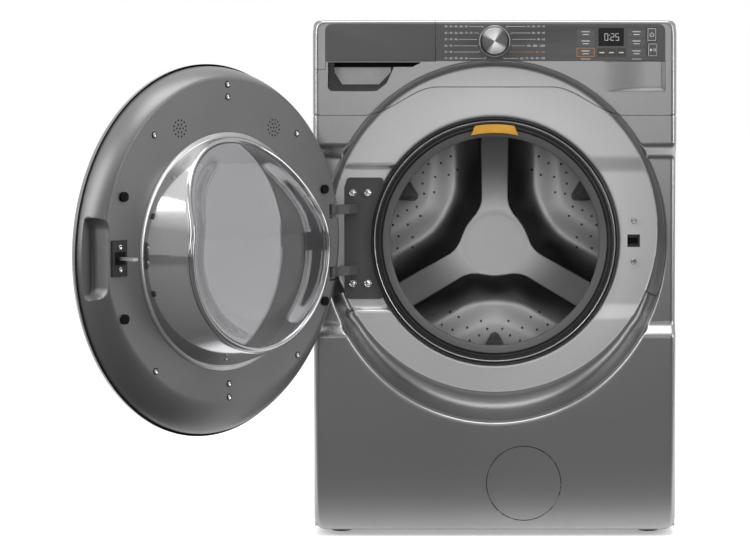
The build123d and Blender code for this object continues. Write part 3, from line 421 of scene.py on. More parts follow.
def plain_looks():
    """Paint, plastics, rubber and printed marks."""
    return {
        "paint": surface("metallic_paint", 0.30, 0.34, (0.24, 0.32), 1.0, 3.0, 2600.0, 0.03),
        "dish": surface("dish_paint", 0.66, 0.71, (0.28, 0.38), 0.6, 3.0, 2600.0, 0.03),
        # Dish wall: a darker copy of the body paint, painted shade on the wall that runs down into the
        # dish.
        "groove": surface("dish_wall_shade", 0.15, 0.18, (0.28, 0.38), 1.0, 3.0, 2600.0, 0.03),
        "strip": surface("control_film", 0.085, 0.095, (0.36, 0.46), 0.1, 6.0, 1800.0, 0.03),
        "pad": surface("pad_film", 0.10, 0.11, (0.36, 0.46), 0.1),
        "inner_door": surface("door_plastic", 0.15, 0.18, (0.34, 0.42), 0.6, 4.0, 1600.0, 0.05),
        "hinge": surface("hinge_plastic", 0.085, 0.10, (0.40, 0.52), 0.1, 12.0, 1500.0, 0.08),
        "lip": surface("gasket_lip", 0.10, 0.12, (0.42, 0.55), 0.0, 9.0, 1200.0, 0.08),
        # Gasket folds: a darker copy of the lip's rubber, painted shade in the gasket's folds.
        "fold": surface("gasket_fold", 0.030, 0.045, (0.30, 0.45), 0.0, 9.0, 1200.0, 0.06),
        "tab": surface("tab_plastic", (0.82, 0.40, 0.035), (0.90, 0.46, 0.045), (0.35, 0.45)),
        "rubber": surface("black_rubber", 0.015, 0.025, (0.55, 0.7), 0.0, 30.0, 1500.0, 0.1),
        "grey_plastic": surface("grey_plastic", 0.42, 0.47, (0.4, 0.5)),
        "tub": surface("tub_plastic", 0.22, 0.27, (0.45, 0.6)),
        "board": surface("circuit_board", (0.01, 0.08, 0.03), (0.015, 0.11, 0.04), (0.4, 0.5)),
        "blue": surface("blue_plastic", (0.10, 0.16, 0.28), (0.12, 0.19, 0.32), (0.38, 0.48)),
        "concrete": surface("concrete", 0.24, 0.34, (0.8, 0.95), 0.0, 60.0, 400.0, 0.4),
        "print": surface("white_print", 0.72, 0.80, (0.4, 0.5)),
        "orange": surface("orange_print", (0.62, 0.24, 0.03), (0.70, 0.28, 0.04), (0.4, 0.5)),
        "olive": surface("pad_tint", (0.045, 0.048, 0.035), (0.055, 0.058, 0.042), (0.36, 0.46)),
        "scoop": surface("scoop_plastic", 0.42, 0.46, (0.36, 0.46), 0.3),
        "lifter": surface("lifter_plastic", 0.07, 0.09, (0.35, 0.45), 0.5),
        # Near-black: painted shade on the drawer recess's back and on the bowl's inner wall; also the
        # sleeve behind the door window.
        "well": surface("window_well", 0.035, 0.05, (0.25, 0.35), 0.2, 6.0, 900.0, 0.02),
        # Near-black: painted shade in the drum's holes, the door's vents and screw seats and the latch's
        # window; also the door's black bumpers.
        "hole": surface("dark_hole", 0.004, 0.008, (0.5, 0.7), specular=0.1),
        # Near-black: painted shade in the gaps round the filter cover and under the drawer front and in the
        # strike washers' holes; also the motor and dampers.
        "seam": surface("shadow_gap", 0.006, 0.010, (0.6, 0.8), specular=0.1),
        "screen": surface("display_glass", 0.008, 0.012, (0.08, 0.14), 0.0, 8.0, 400.0, 0.01,
                          specular=0.1),
    }


def metal_and_glass_looks():
    return {
        "chrome": surface("chrome", 0.72, 0.80, (0.05, 0.11), 1.0, 20.0, 900.0, 0.01),
        "spun": spun_metal(),
        "drum": surface("drum_steel", 0.42, 0.48, (0.30, 0.40), 1.0, 5.0, 500.0, 0.04, (1.0, 0.08, 1.0)),
        "star": surface("star_steel", 0.52, 0.58, (0.30, 0.38), 1.0, 4.0, 700.0, 0.03),
        # Hub: a much lighter copy of the drum back's steel, a painted highlight on the hub disc.
        "hub": surface("hub_steel_lit", 0.85, 0.92, (0.38, 0.46), 0.85, 6.0, 900.0, 0.02),
        "steel": surface("plain_steel", 0.42, 0.5, (0.25, 0.4), 1.0, 25.0, 1200.0, 0.05),
        "galvanised": surface("galvanised", 0.34, 0.40, (0.32, 0.5), 0.9, 60.0, 1500.0, 0.05),
        "cast": surface("cast_metal", 0.38, 0.46, (0.4, 0.55), 0.9, 50.0, 800.0, 0.15),
        "side": surface("bowl_side", 0.56, 0.64, (0.05, 0.10), 0.9, 5.0, 300.0, 0.004),
        "edge": surface("bowl_lip", 0.36, 0.42, (0.06, 0.12), 0.9, 5.0, 300.0, 0.004),
        "clear": glass("bowl_glass", 0.97, 0.05, 0.55, 0.9, 0.90),
        "tinted": glass("tinted_window", 0.82, 0.07, 0.05, 0.0, 0.75),
    }


LOOK = {**plain_looks(), **metal_and_glass_looks()}


# ---- cabinet front ----
def ray_ellipse(turn, a, b):
    return a * b / math.hypot(b * math.cos(turn), a * math.sin(turn))


def ray_circle(turn, radius, rise):
    """Distance along a ray from the dish centre to a circle whose centre is `rise` higher."""
    c, s = math.cos(turn), math.sin(turn)
    return rise * s + math.sqrt(radius ** 2 - (rise * c) ** 2)


def ray_outline(turn, inset_side, inset_end):
    """Distance from the dish centre to the cabinet's rounded outline."""
    c, s = math.cos(turn), math.sin(turn)
    high = (TOP if s > 0 else BOTTOM) - CENTRE_Z
    hx = HALF - inset_side
    hz = abs(high) - inset_end
    r = min(hx / max(abs(c), 1e-9), hz / max(abs(s), 1e-9))
    corner = CABINET_CORNER - max(inset_side, inset_end)
    cx, cz = hx - corner, hz - corner
    if r * abs(c) > cx and r * abs(s) > cz:
        along = abs(c) * cx + abs(s) * cz
        r = along + math.sqrt(max(along ** 2 - (cx ** 2 + cz ** 2 - corner ** 2), 0.0))
    return r


def seam_height(x):
    """The console's lower edge: level at the sides, arched up inside the dish."""
    t = (SEAM_X[1] - abs(x)) / (SEAM_X[1] - SEAM_X[0])
    return lerp(SEAM_Z, SEAM_PEAK_Z, smooth(t))


def ray_seam(turn, reach):
    """Where a ray crosses the seam, or None."""
    c, s = math.cos(turn), math.sin(turn)
    if CENTRE_Z + reach * s <= seam_height(reach * c):
        return None
    low, high = 0.0, reach
    for _ in range(40):
        mid = (low + high) / 2
        if CENTRE_Z + mid * s > seam_height(mid * c):
            high = mid
        else:
            low = mid
    return high


def waist(z):
    """0 on the flat front, 1 in the recesses beside the dish."""
    low, low_end, high_start, high = WAIST_Z
    return smooth((z - low) / (low_end - low)) * smooth((high - z) / (high - high_start))


def floor_depth(x, z):
    """Dish floor with the stepped hinge pocket on the left and a soft one on the right."""
    if x < 0:
        band = smooth((z - POCKET_Z[0]) / 9) * smooth((POCKET_Z[1] - z) / 9)
        return DISH_DEPTH + 8.0 * band * smooth((-x - 40) / 60)
    band = smooth((z - 405) / 34) * smooth((722 - z) / 34)
    return DISH_DEPTH + 3.0 * band * smooth((x - 40) / 60)


def front_depth(r, turn, radii):
    """Depth of the pressed front at distance r along a ray from the dish centre."""
    opening, foot, lip, edge, outline = radii
    c, s = math.cos(turn), math.sin(turn)
    x, z = r * c, CENTRE_Z + r * s
    lip_depth = WAIST_DEPTH * waist(CENTRE_Z + lip * s)
    if r <= foot:
        roll = max(0.0, 1 - (r - opening) / 6)
        return floor_depth(x, z) + 5.0 * (1 - math.sqrt(1 - roll ** 2))
    if r <= lip:
        base = floor_depth(foot * c, CENTRE_Z + foot * s)
        top = lip_depth + LIP_DROP
        t = (r - foot) / (lip - foot)
        rise = 0.55 * t * t + 0.45 * t ** 4 if lip - foot > 24 else 0.5 * smooth(t) + 0.5 * t * t
        return lerp(base, top, rise)
    flat = WAIST_DEPTH * waist(z)
    if r < lip + LIP_ROUND:
        t = (r - lip) / LIP_ROUND
        return lerp(lip_depth, flat, t) + LIP_DROP * (1 - t) ** 2
    if r > edge:
        t = (r - edge) / max(outline - edge, 1e-6)
        return flat + (outline - edge) * 0.8 * (1 - math.sqrt(max(1 - t * t, 0.0)))
    return flat


def ray_radii(turn):
    """Distances along a ray to the opening, the dish floor's edge, the lip and the outline."""
    opening = ray_circle(turn, OPENING_RADIUS, OPENING_Z - CENTRE_Z)
    foot = ray_circle(turn, FLOOR_RADIUS, FLOOR_Z - CENTRE_Z)
    lip = ray_ellipse(turn, DISH_X, DISH_Z)
    edge = ray_outline(turn, 11.0, 7.0)
    outline = ray_outline(turn, 0.0, 0.0)
    lip_end = lip + LIP_ROUND
    return opening, min(foot, lip - 8), lip, max(edge, lip_end + 0.5), outline


def front_grid(above):
    """Points and faces of the pressed front above the seam (console) or below it (panel)."""
    points, rows = [], []
    for turn in angles(FRONT_RAYS):
        radii = ray_radii(turn)
        opening, foot, lip, edge, outline = radii
        seam = ray_seam(turn, outline)
        if above and seam is None:
            rows.append(None)
            continue
        start = seam + SEAM_GAP if above else opening
        end = outline if above or seam is None else seam - SEAM_GAP
        row = []
        for r in spread([(opening, 6), (opening + 6, 18), (foot - 9, 8), (foot, 22), (lip, 6),
                         (lip + LIP_ROUND, 46), (edge, 8), (outline, 1)]):
            r = min(max(r, start), end)
            row.append(polar(r, turn, front_depth(r, turn, radii)))
        x, d, z = row[-1]
        row.append((x, max(d, FLANGE_DEPTH) if end == outline else d + 2.5, z))
        x, d, z = row[0]
        row.insert(0, (x, d + (2.5 if above else 6.0), z))
        rows.append((len(points), len(row)))
        points += row
    faces = []
    for a, b in zip(rows, rows[1:] + rows[:1]):
        if a and b:
            faces += [(a[0] + j, a[0] + j + 1, b[0] + j + 1, b[0] + j) for j in range(a[1] - 1)]
    return points, faces


def cut_line(bm, axis, value):
    """Insert an edge loop where x or z takes a value, without removing anything."""
    normal = Vector((1, 0, 0)) if axis == "x" else Vector((0, 0, 1))
    geometry = bm.verts[:] + bm.edges[:] + bm.faces[:]
    bmesh.ops.bisect_plane(bm, geom=geometry, dist=1e-7, plane_co=normal * value * MM, plane_no=normal)


def remove_where(bm, inside):
    """Delete faces whose centre (x, depth, z) in millimetres satisfies a test."""
    doomed = [face for face in bm.faces if inside(*where(face.calc_center_median()))]
    bmesh.ops.delete(bm, geom=doomed, context="FACES")


def snap_outline(bm, distance):
    """Move vertices next to a closed outline onto it; distance(x, z) is negative inside."""
    for edge in bm.edges:
        a, b = edge.verts
        if abs(a.co.z - b.co.z) + abs(a.co.x - b.co.x) > SNAP_REACH * MM:
            continue
        da = distance(a.co.x / MM, a.co.z / MM)
        db = distance(b.co.x / MM, b.co.z / MM)
        if da * db < 0 and min(abs(da), abs(db)) > 1e-4:
            t = da / (da - db)
            point = a.co.lerp(b.co, t)
            near = a if abs(da) < abs(db) else b
            near.co = point


def circle_distance(cx, cz, radius):
    return lambda x, z: math.hypot(x - cx, z - cz) - radius


def thicken_hole(bm, inside, depth):
    """Push a wall back from the open edges that satisfy a test of (x, z)."""
    edges = []
    for edge in bm.edges:
        x, _, z = where((edge.verts[0].co + edge.verts[1].co) / 2)
        if edge.is_boundary and inside(x, z):
            edges.append(edge)
    made = bmesh.ops.extrude_edge_only(bm, edges=edges)
    for element in made["geom"]:
        if isinstance(element, bmesh.types.BMVert):
            element.co.y += depth * MM


def paint_dish(panel):
    """Give the dish's floor its own lighter paint, and its wall a darker copy of the body paint as painted
    shade.
    """
    panel.data.materials.append(LOOK["dish"])
    # The second material is a darker copy of the body paint: painted shade on the dish's wall.
    panel.data.materials.append(LOOK["groove"])
    for face in panel.data.polygons:
        x, _, z = where(face.center)
        reach, radii = math.hypot(x, z - CENTRE_Z), ray_radii(math.atan2(z - CENTRE_Z, x))
        if reach < radii[1] + 2:
            face.material_index = 1
        elif reach < radii[2] - 1.5:
            face.material_index = 2


def build_front_panel():
    bm = bmesh_from(*front_grid(False), 0.02)
    hole = circle_distance(FILTER_X, FILTER_Z, FILTER_RADIUS + FILTER_GAP)
    for _ in range(2):
        snap_outline(bm, hole)
    remove_where(bm, lambda x, d, z: hole(x, z) < 0 and z < 200)
    thicken_hole(bm, lambda x, z: abs(hole(x, z)) < 1.0 and z < 200, 3.0)
    for axis, middle in (("x", STRIKE_X), ("z", STRIKE_Z)):
        cut_line(bm, axis, middle - STRIKE_HALF)
        cut_line(bm, axis, middle + STRIKE_HALF)
    remove_where(bm, lambda x, d, z: max(abs(x - STRIKE_X), abs(z - STRIKE_Z)) < STRIKE_HALF)
    panel = mesh_from(bm, "front_panel_skin", "paint", "cabinet", 40)
    paint_dish(panel)
    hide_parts("front_panel")


def pull_distance(x, z):
    """Signed distance to the finger recess under the drawer; its right side follows the dish."""
    if x > 0:
        return 99.0
    ring = math.hypot(x, (z - CENTRE_Z) * DISH_X / DISH_Z) - (DISH_X + 27)
    corner = 9.0
    dx, dz = -314.0 + corner - x, 844.0 + corner - z
    if dx > 0 and dz > 0:
        return max(math.hypot(dx, dz) - corner, -ring)
    return max(-314.0 - x, 844.0 - z, z - 898.0, -ring)


def in_drawer(x, z, grow):
    """True on the drawer's front: the strip's left part and the corner beside it."""
    corner = x < STRIP_X[0] + grow and z > DRAWER_LOW - grow
    return corner or x < DRAWER_END + grow and z > STRIP_Z[0] - grow


def in_strip(x, z, start, end):
    return start < x < end and STRIP_Z[0] < z < STRIP_Z[1]


def press_recess(bm):
    """Shallow recess at the console's right, ramping in from its edges."""
    for v in bm.verts:
        x, d, z = where(v.co)
        if abs(d) < 0.05 and RECESS_X[0] < x < RECESS_X[1] and RECESS_Z[0] < z < RECESS_Z[1]:
            ramp_in = min((RECESS_X[1] - x) / 9, (z - RECESS_Z[0]) / 8, smooth((x - 198) / 90), 1.0)
            v.co.y += RECESS_DEPTH * max(ramp_in, 0.0) * MM


def build_console():
    bm = bmesh_from(*front_grid(True), 0.02)
    for value in (-319.0, -318.2, -111.4, -110.6, 321.0, 200.0, 215.0, 230.0, 245.0, 260.0, 280.0, 300.0,
                  313.0, 322.0):
        cut_line(bm, "x", value)
    for value in (884.2, 885.0, 899.2, 900.0, 970.0, 843.0, 851.0, 898.0):
        cut_line(bm, "z", value)
    press_recess(bm)
    for _ in range(2):
        snap_outline(bm, lambda x, z: pull_distance(x, z) if z < 898.1 else 99.0)
    remove_where(bm, lambda x, d, z: pull_distance(x, z) < 0)
    thicken_hole(bm, lambda x, z: abs(pull_distance(x, z)) < 1.5 and x < -100, 26.0)
    drawer = bm.copy()
    remove_where(bm, lambda x, d, z: in_drawer(x, z, 0.8) or in_strip(x, z, STRIP_X[1], STRIP_X[2]))
    remove_where(drawer, lambda x, d, z: not in_drawer(x, z, 0.0))
    remove_where(drawer, lambda x, d, z: in_strip(x, z, STRIP_X[0], DRAWER_END))
    thicken_hole(bm, lambda x, z: z > 880, 3.0)
    thicken_hole(drawer, lambda x, z: abs(x) < 342, 12.0)
    console = mesh_from(bm, "console_skin", "paint", "cabinet", 40)
    paint_dish(console)
    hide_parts("console_fascia")
    front = mesh_from(drawer, "drawer_frame", "paint", "drawer", 40)
    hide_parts("drawer_front")


def build_pull_recess():
    """Light scoop in the recess under the drawer front, with painted shade on the recess's back and a dark
    sheet of painted shade in the gap.
    """
    scoop = [(-288, 856), (-218, 856), (-196, 879), (-196, 889), (-303, 889), (-303, 879)]
    back = [(-330, 838), (-214, 838), (-186, 899), (-330, 899)]
    cheek = [(-214, 838), (-190, 838), (-120, 899), (-186, 899)]
    gap = [(-303, 889.5), (-150, 889.5), (-140, 898), (-303, 898)]
    for name, loop, d0, d1, look, bevel, slot in (
            ("drawer_scoop", scoop, 17, 24, "scoop", 1.2, "console_metal"),
            ("drawer_recess_shade", back, 25.5, 27, "well", 0.0, "overlay"),
            ("drawer_recess_cheek", cheek, 25.5, 27, "paint", 0.0, "console_metal"),
            ("drawer_gap_shade", gap, 22, 25, "seam", 0.0, "overlay")):
        plate(name, [loop], d0, d1, look, "cabinet", bevel)


def build_strips():
    """Dark control film with rounded outer corners, in two lengths."""
    x0, x1, x2 = STRIP_X
    z0, z1 = STRIP_Z
    display = rounded_loop(195.1, 242.9, 928.1, 961.9, 1.0, 3)
    power = rounded_loop(287.1, 303.7, 937.4, 961.9, 1.6, 3)
    start = rounded_loop(288.6, 305.9, 909.1, 933.1, 1.6, 3)
    shaft = circle_loop(0, KNOB_Z, 5.0, 24)
    right = rounded_loop(x1, x2, z0, z1, (0.6, 1.0, 13.0, 0.6), 8)
    loops = [right, display, power, start, shaft]
    film = plate("control_film", loops, -0.15, 1.4, "strip", "cabinet", 0.25)
    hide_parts("control_overlay")
    left = rounded_loop(x0, DRAWER_END, z0, z1, (1.0, 0.6, 0.6, 13.0), 8)
    cover = plate("drawer_film", [left], -0.15, 1.4, "strip", "drawer", 0.25)
    low, high = z1 - 14, z1 + 0.5
    for near, far, body in ((x2 - 14, x2 + 0.5, "cabinet"), (x0 - 0.5, x0 + 14, "drawer")):
        corner = [(near, low), (far, low), (far, high), (near, high)]
        plate(f"strip_corner_{body}", [corner], 0.05, 1.2, "paint", body)


def build_filter_seam():
    """Even dark gap round the filter cover, a sheet of painted shade, with a flush collar outside it."""
    cover, hole, collar = (circle_loop(FILTER_X, FILTER_Z, FILTER_RADIUS + more, 120)
                           for more in (0.1, 1.8, 12))
    rim = plate("filter_rim", [collar, hole], -0.06, 2.4, "paint")
    gap = plate("filter_gap_shade", [hole, cover], 0.3, 2.4, "seam")


# ---- door ----
def polar_piece(name, radii_of, depth_of, stops_of, look, body, move, rays, sharp):
    """Surface drawn along rays from the dish centre; depth_of(r, turn, radii) gives its depth."""
    points = []
    for turn in angles(rays):
        radii = radii_of(turn)
        for r, extra in stops_of(radii):
            points.append(polar(r, turn, depth_of(r, turn, radii) + extra))
    return piece(name, points, grid_faces(rays, len(points) // rays), look, body, move, sharp)


def inner_radii(turn):
    return (BOWL_RADIUS + 0.8, ray_circle(turn, PLATEAU_RADIUS, PLATEAU_Z - CENTRE_Z),
            ray_ellipse(turn, RIM_X - 3.6, RIM_Z - 3.6))


def inner_depth(r, turn, radii):
    """Depth of the door's inner skin: flat plateau, rounded shoulder, pull recess, hinge windows."""
    hole, plateau, rim = radii
    x, w = r * math.cos(turn), r * math.sin(turn)
    d = PLATEAU_DEPTH
    if r > plateau - 4:
        t = (r - plateau + 4) / (rim - plateau + 4)
        d = -12.4 + (PLATEAU_DEPTH + 12.4) * (1 - t ** 1.7) ** 0.62
    side, end = max(302.0 - x, 0.0), max(abs(w) - 49.0, 0.0)
    recess = smooth((22.0 - math.hypot(side, end)) / 6.0)
    d = lerp(d, min(d, -2.0), recess)
    ring = smooth((r - hole) / 5)
    return d - 2.5 * (1 - ring)


def inner_stops(radii):
    hole, plateau, rim = radii
    values = spread([(hole, 6), (hole + 6, 20), (plateau - 16, 14), (plateau - 4, 34), (rim, 1)])
    return [(hole, -7.0)] + [(r, 0.0) for r in values] + [(rim, -3.0)]


def hinge_window_distance(x, z):
    """Negative inside either opening for a hinge lug."""
    return min(max(abs(z - lug) - 13.5, x + 263.0) for lug in LUG_Z)


def build_inner_panel():
    panel = polar_piece("door_inner_skin", inner_radii, inner_depth, inner_stops, "inner_door", "door",
                        same, 900, 40)
    bm = bmesh.new()
    bm.from_mesh(panel.data)
    for _ in range(2):
        snap_outline(bm, hinge_window_distance)
    remove_where(bm, lambda x, d, z: hinge_window_distance(x, z) < 0)
    thicken_hole(bm, lambda x, z: abs(hinge_window_distance(x, z)) < 2.0 and x < -200, -14.0)
    for v in bm.verts:
        v.co = place(*swing(where(v.co)))
    bm.to_mesh(panel.data)
    bm.free()
    panel.data.set_sharp_from_angle(angle=math.radians(40))
    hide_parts("door_inner_panel")


def outer_radii(turn):
    return (214.6, ray_ellipse(turn, RIM_X, RIM_Z))


def outer_depth(r, turn, radii):
    inner, rim = radii
    t = min((r - inner) / (rim - inner), 1.0)
    swell = -43.6 + 20.0 * t ** 2.4
    edge = max(0.0, 1 - (rim - r) / 7.0)
    return swell + 6.0 * (1 - math.sqrt(1 - edge ** 2))


def outer_stops(radii):
    inner, rim = radii
    values = spread([(inner, 5), (inner + 4, 30), (rim - 7, 12), (rim, 1)])
    head = [(inner, 11.0), (inner, 1.5)]
    tail = [(rim, 3.0), (rim, 4.8), (rim - 3.5, 5.4)]
    return head + [(r, 0.0) for r in values[1:]] + tail


def build_outer_shell():
    shell = polar_piece("door_outer_skin", outer_radii, outer_depth, outer_stops, "paint", "door",
                        swing, 720, 40)
    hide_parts("door_outer_ring")
    trim = lathe("door_window_trim", [(214.2, -38), (214.2, -44.0), (216.5, -45.0), (219.5, -44.4),
                                      (220.5, -43.0), (219.0, -38)],
                 (0, CENTRE_Z), "chrome", "door", swing, 200)


def bowl_edge(turn, inset):
    """Radius where the bowl's cone meets its end, and the height of that edge."""
    near, far = 60.0, BOWL_RADIUS - inset
    for _ in range(40):
        r = (near + far) / 2
        cone = BOWL_DEPTH * (BOWL_RADIUS - inset - r) / (BOWL_RADIUS - BOWL_TIP)
        if cone > end_height(r * math.sin(turn), inset):
            near = r
        else:
            far = r
    return r, end_height(r * math.sin(turn), inset)


def end_height(w, inset):
    """Height of the bowl's end above the plateau: flat below, slanted above."""
    slant = BOWL_DEPTH - inset - (w - 48.0) * math.tan(math.radians(26))
    return soft_min(BOWL_DEPTH - inset, slant, 10.0)


def bowl_point(turn, r, height):
    return polar(r, turn, BOWL_BASE + height)


def bowl_ray(turn, inset):
    """Side wall from the base to the rounded edge, then the slightly dished end to the middle."""
    edge, top = bowl_edge(turn, inset)
    ray = []
    for s in spread([(0.0, 14), (0.94, 1)]):
        ray.append(bowl_point(turn, lerp(BOWL_RADIUS - inset, edge, s), top * s))
    for s in spread([(0.97, 10), (0.80, 12), (0.0, 1)]):
        level = end_height(edge * s * math.sin(turn), inset)
        sag = 15.0 * (1 - smooth((s - 0.72) / 0.25))
        ray.append(bowl_point(turn, edge * s, level - sag - (1.2 if s > 0.96 else 0.0)))
    return ray


def paint_bowl(bowl):
    """Polished material on the bowl's outer side wall and a dark one, painted shade, on its inner side
    wall.
    """
    bowl.data.materials.append(LOOK["side"])
    bowl.data.materials.append(LOOK["well"])
    base = Vector(place(*swing((0, BOWL_BASE, CENTRE_Z))))
    axis = (Vector(place(*swing((0, BOWL_BASE + 100.0, CENTRE_Z)))) - base).normalized()
    across = (Vector(place(*swing((1, BOWL_BASE, CENTRE_Z)))) - base).normalized()
    for face in bowl.data.polygons:
        offset = face.center - base
        u, w, height = offset.dot(across) / MM, offset.z / MM, offset.dot(axis) / MM
        r = math.hypot(u, w)
        if r > bowl_edge(math.atan2(w, u), 0.0)[0] - 1.0 or height < 2.0:
            wall = BOWL_RADIUS - height * (BOWL_RADIUS - BOWL_TIP) / BOWL_DEPTH
            face.material_index = 1 if r > wall - 2.7 else 2


def build_bowl():
    """Glass bowl: polished side wall, clear dished end and a thick rounded edge between them."""
    points, edge_points, rays, steps = [], [], 240, 16
    for turn in angles(rays):
        points += bowl_ray(turn, 0.0) + bowl_ray(turn, BOWL_WALL)[::-1]
        edge, top = bowl_edge(turn, 0.0)
        for roll in angles(steps):
            edge_points.append(bowl_point(turn, edge - 4.0 + 5.6 * math.cos(roll),
                                          top - 4.6 + 5.6 * math.sin(roll)))
    faces = grid_faces(rays, len(points) // rays, True)
    bowl = piece("glass_bowl", points, faces, "clear", "door", swing, 60)
    paint_bowl(bowl)
    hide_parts("door_glass")
    rim = piece("bowl_edge", edge_points, grid_faces(rays, steps, True), "edge", "door", swing, 60)


def build_window_well():
    """Dark sleeve behind the outer window and the seal round the bowl's foot."""
    well = lathe("window_well", [(213.0, -38.0), (212.0, -8.0), (207.0, 30.0), (209.0, 30.0),
                                 (214.0, -8.0), (214.4, -38.0)],
                 (0, CENTRE_Z), "well", "door", swing, 200)
    seal = lathe("bowl_seal", [(202.0, 31.0), (202.0, 35.4), (204.5, 37.2), (208.5, 37.2), (211.5, 35.2),
                               (211.5, 31.0)],
                 (0, CENTRE_Z), "steel", "door", swing, 220)


def shade_spot(x, z, radius, steps, top):
    """Dark disc on the door's inner panel: painted shade in a hole or a recessed seat."""
    loop = circle_loop(x, z, radius, steps)
    return plate("spot", [loop], PLATEAU_DEPTH - 0.4, PLATEAU_DEPTH + top, "hole", "door", 0.0, swing)


def build_door_details():
    """Vents, recessed screw seats, screw heads and the latch's window on the inner panel; the vents, seats
    and window are dark discs and a dark sheet of painted shade.
    """
    dots = []
    for cx in (-116, 116):
        cz = CENTRE_Z + 219
        for ring_radius, count in ((0, 1), (7.5, 6), (14.5, 12)):
            for k in range(count):
                turn = 2 * math.pi * (k + 0.5 * (ring_radius > 10)) / count
                dots.append(shade_spot(cx + ring_radius * math.cos(turn), cz + ring_radius * math.sin(turn),
                                      1.7, 12, 0.12))
    dots += [shade_spot(x, z, 6.2, 24, 0.1) for x, z in DOOR_SCREWS]
    # Vents and screw seats together: dark discs of painted shade.
    vents = join("door_hole_shade", dots)
    heads = []
    for x, z in DOOR_SCREWS + LATCH_SCREWS:
        rise = PLATEAU_DEPTH + (LATCH_RISE if x == LATCH_X else 0.0)
        heads.append(lathe("head", [(4.4, rise - 1.0), (4.2, rise + 1.2), (3.0, rise + 2.0),
                                    (1.6, rise + 1.3), (0.01, rise + 1.1)],
                           (x, z), "chrome", "door", swing, 24))
    screws = join("door_screw_heads", heads)
    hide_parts("door_screws")
    # The latch's window: a dark sheet of painted shade.
    window = rounded_loop(247, 271, CENTRE_Z - 11, CENTRE_Z + 11, 2)
    front = PLATEAU_DEPTH + LATCH_RISE
    latch = plate("latch_window_shade", [window], front, front + 0.25, "hole", "door", 0.0, swing)


def build_strike_details():
    """Bright washers round the two screws of the strike, and the hinge plate's screw heads."""
    rings = []
    for side in (-STRIKE_SCREW_OFFSET, STRIKE_SCREW_OFFSET):
        x, z = STRIKE_X, STRIKE_Z + side
        rings.append(lathe("washer", [(3.4, 61.2), (3.4, 59.8), (4.2, 59.2), (5.6, 59.6), (6.0, 61.6)],
                           (x, z), "chrome", "cabinet", same, 32))
        # A dark disc in each washer's hole: painted shade.
        rings.append(plate("socket", [circle_loop(x, z, 2.6, 20)], 58.6, 59.2, "seam"))
    head = [(6.9, 63.6), (6.7, 62.4), (6.0, 62.0), (5.2, 62.3), (4.8, 62.8), (4.2, 62.0), (2.6, 61.0),
            (1.6, 61.4), (0.01, 61.8)]
    for x in HINGE_SCREW_X:
        for z in HINGE_SCREW_Z:
            rings.append(lathe("head", head, (x, z), "chrome", "cabinet", same, 32))
    washers = join("strike_washers", rings)


# ---- drum and gasket ----
def star_shape(x, z):
    """Signed distance to the star: hub and three spokes with generous fillets."""
    shape = math.hypot(x, z) - HUB_RADIUS
    spokes = []
    for degrees in SPOKES:
        turn = math.radians(degrees)
        along = x * math.cos(turn) + z * math.sin(turn)
        side = abs(-x * math.sin(turn) + z * math.cos(turn))
        spokes.append(side - SPOKE_HALF - 0.012 * max(along, 0) if along > 0 else 400.0)
    return soft_min(shape, min(spokes), 34.0)


def sector_pad(x, z):
    """Raised three-cornered pad in each sector, pointing at the hub."""
    raised = 0.0
    for degrees in SECTORS:
        turn = math.radians(degrees)
        along = x * math.cos(turn) + z * math.sin(turn)
        side = math.hypot(-x * math.sin(turn) + z * math.cos(turn), 22)
        raised = max(raised, smooth((along - 92 - 0.56 * side) / 70))
    return raised


def back_level(x, z):
    """Distance of the drum's back from its front datum."""
    r = math.hypot(x, z)
    top = STAR_START - 3 + 15.0 * smooth((r - 62) / 200)
    low = SECTOR_START - 6.0 * sector_pad(x, z)
    wall = min(max((star_shape(x, z) + 1) / 62, 0.0), 1.0)
    dish = 0.7 * (1 - smooth((r - HUB_RADIUS + 14) / 12))
    return lerp(top + dish, low, math.sin(wall * math.pi / 2) ** 0.8)


def build_drum():
    rays, rings = 540, 150
    points = []
    for turn in angles(rays):
        for j in range(rings + 1):
            r = DRUM_RADIUS * j / rings
            x, z = r * math.cos(turn), r * math.sin(turn)
            points.append((x, back_level(x, z), z))
    back = piece("drum_back_skin", points, grid_faces(rays, rings + 1), "star", "drum", on_axis, 60)
    # The hub disc takes the lighter steel: a painted highlight.
    back.data.materials.append(LOOK["hub"])
    for index, face in enumerate(back.data.polygons):
        if index % rings < rings * HUB_RADIUS / DRUM_RADIUS:
            face.material_index = 1
    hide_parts("drum_back")


def hole_disc(x, z):
    """Twelve points just in front of the drum's back, then the middle of the hole."""
    disc = []
    for around in angles(12):
        px, pz = x + 2.6 * math.cos(around), z + 2.6 * math.sin(around)
        disc.append((px, back_level(px, pz) - 0.5, pz))
    return disc + [(x, back_level(x, z) + 0.2, z)]


def build_drum_holes():
    points, faces = [], []
    for sector in SECTORS:
        for radius, offsets in HOLES:
            for offset in offsets:
                turn = math.radians(sector + offset)
                base = len(points)
                points += hole_disc(radius * math.cos(turn), radius * math.sin(turn))
                faces += [(base + k, base + (k + 1) % 12, base + 12) for k in range(12)]
    # Dark discs instead of perforations: painted shade seen through the drum's holes.
    dots = piece("drum_hole_shade", points, faces, "hole", "drum", on_axis)


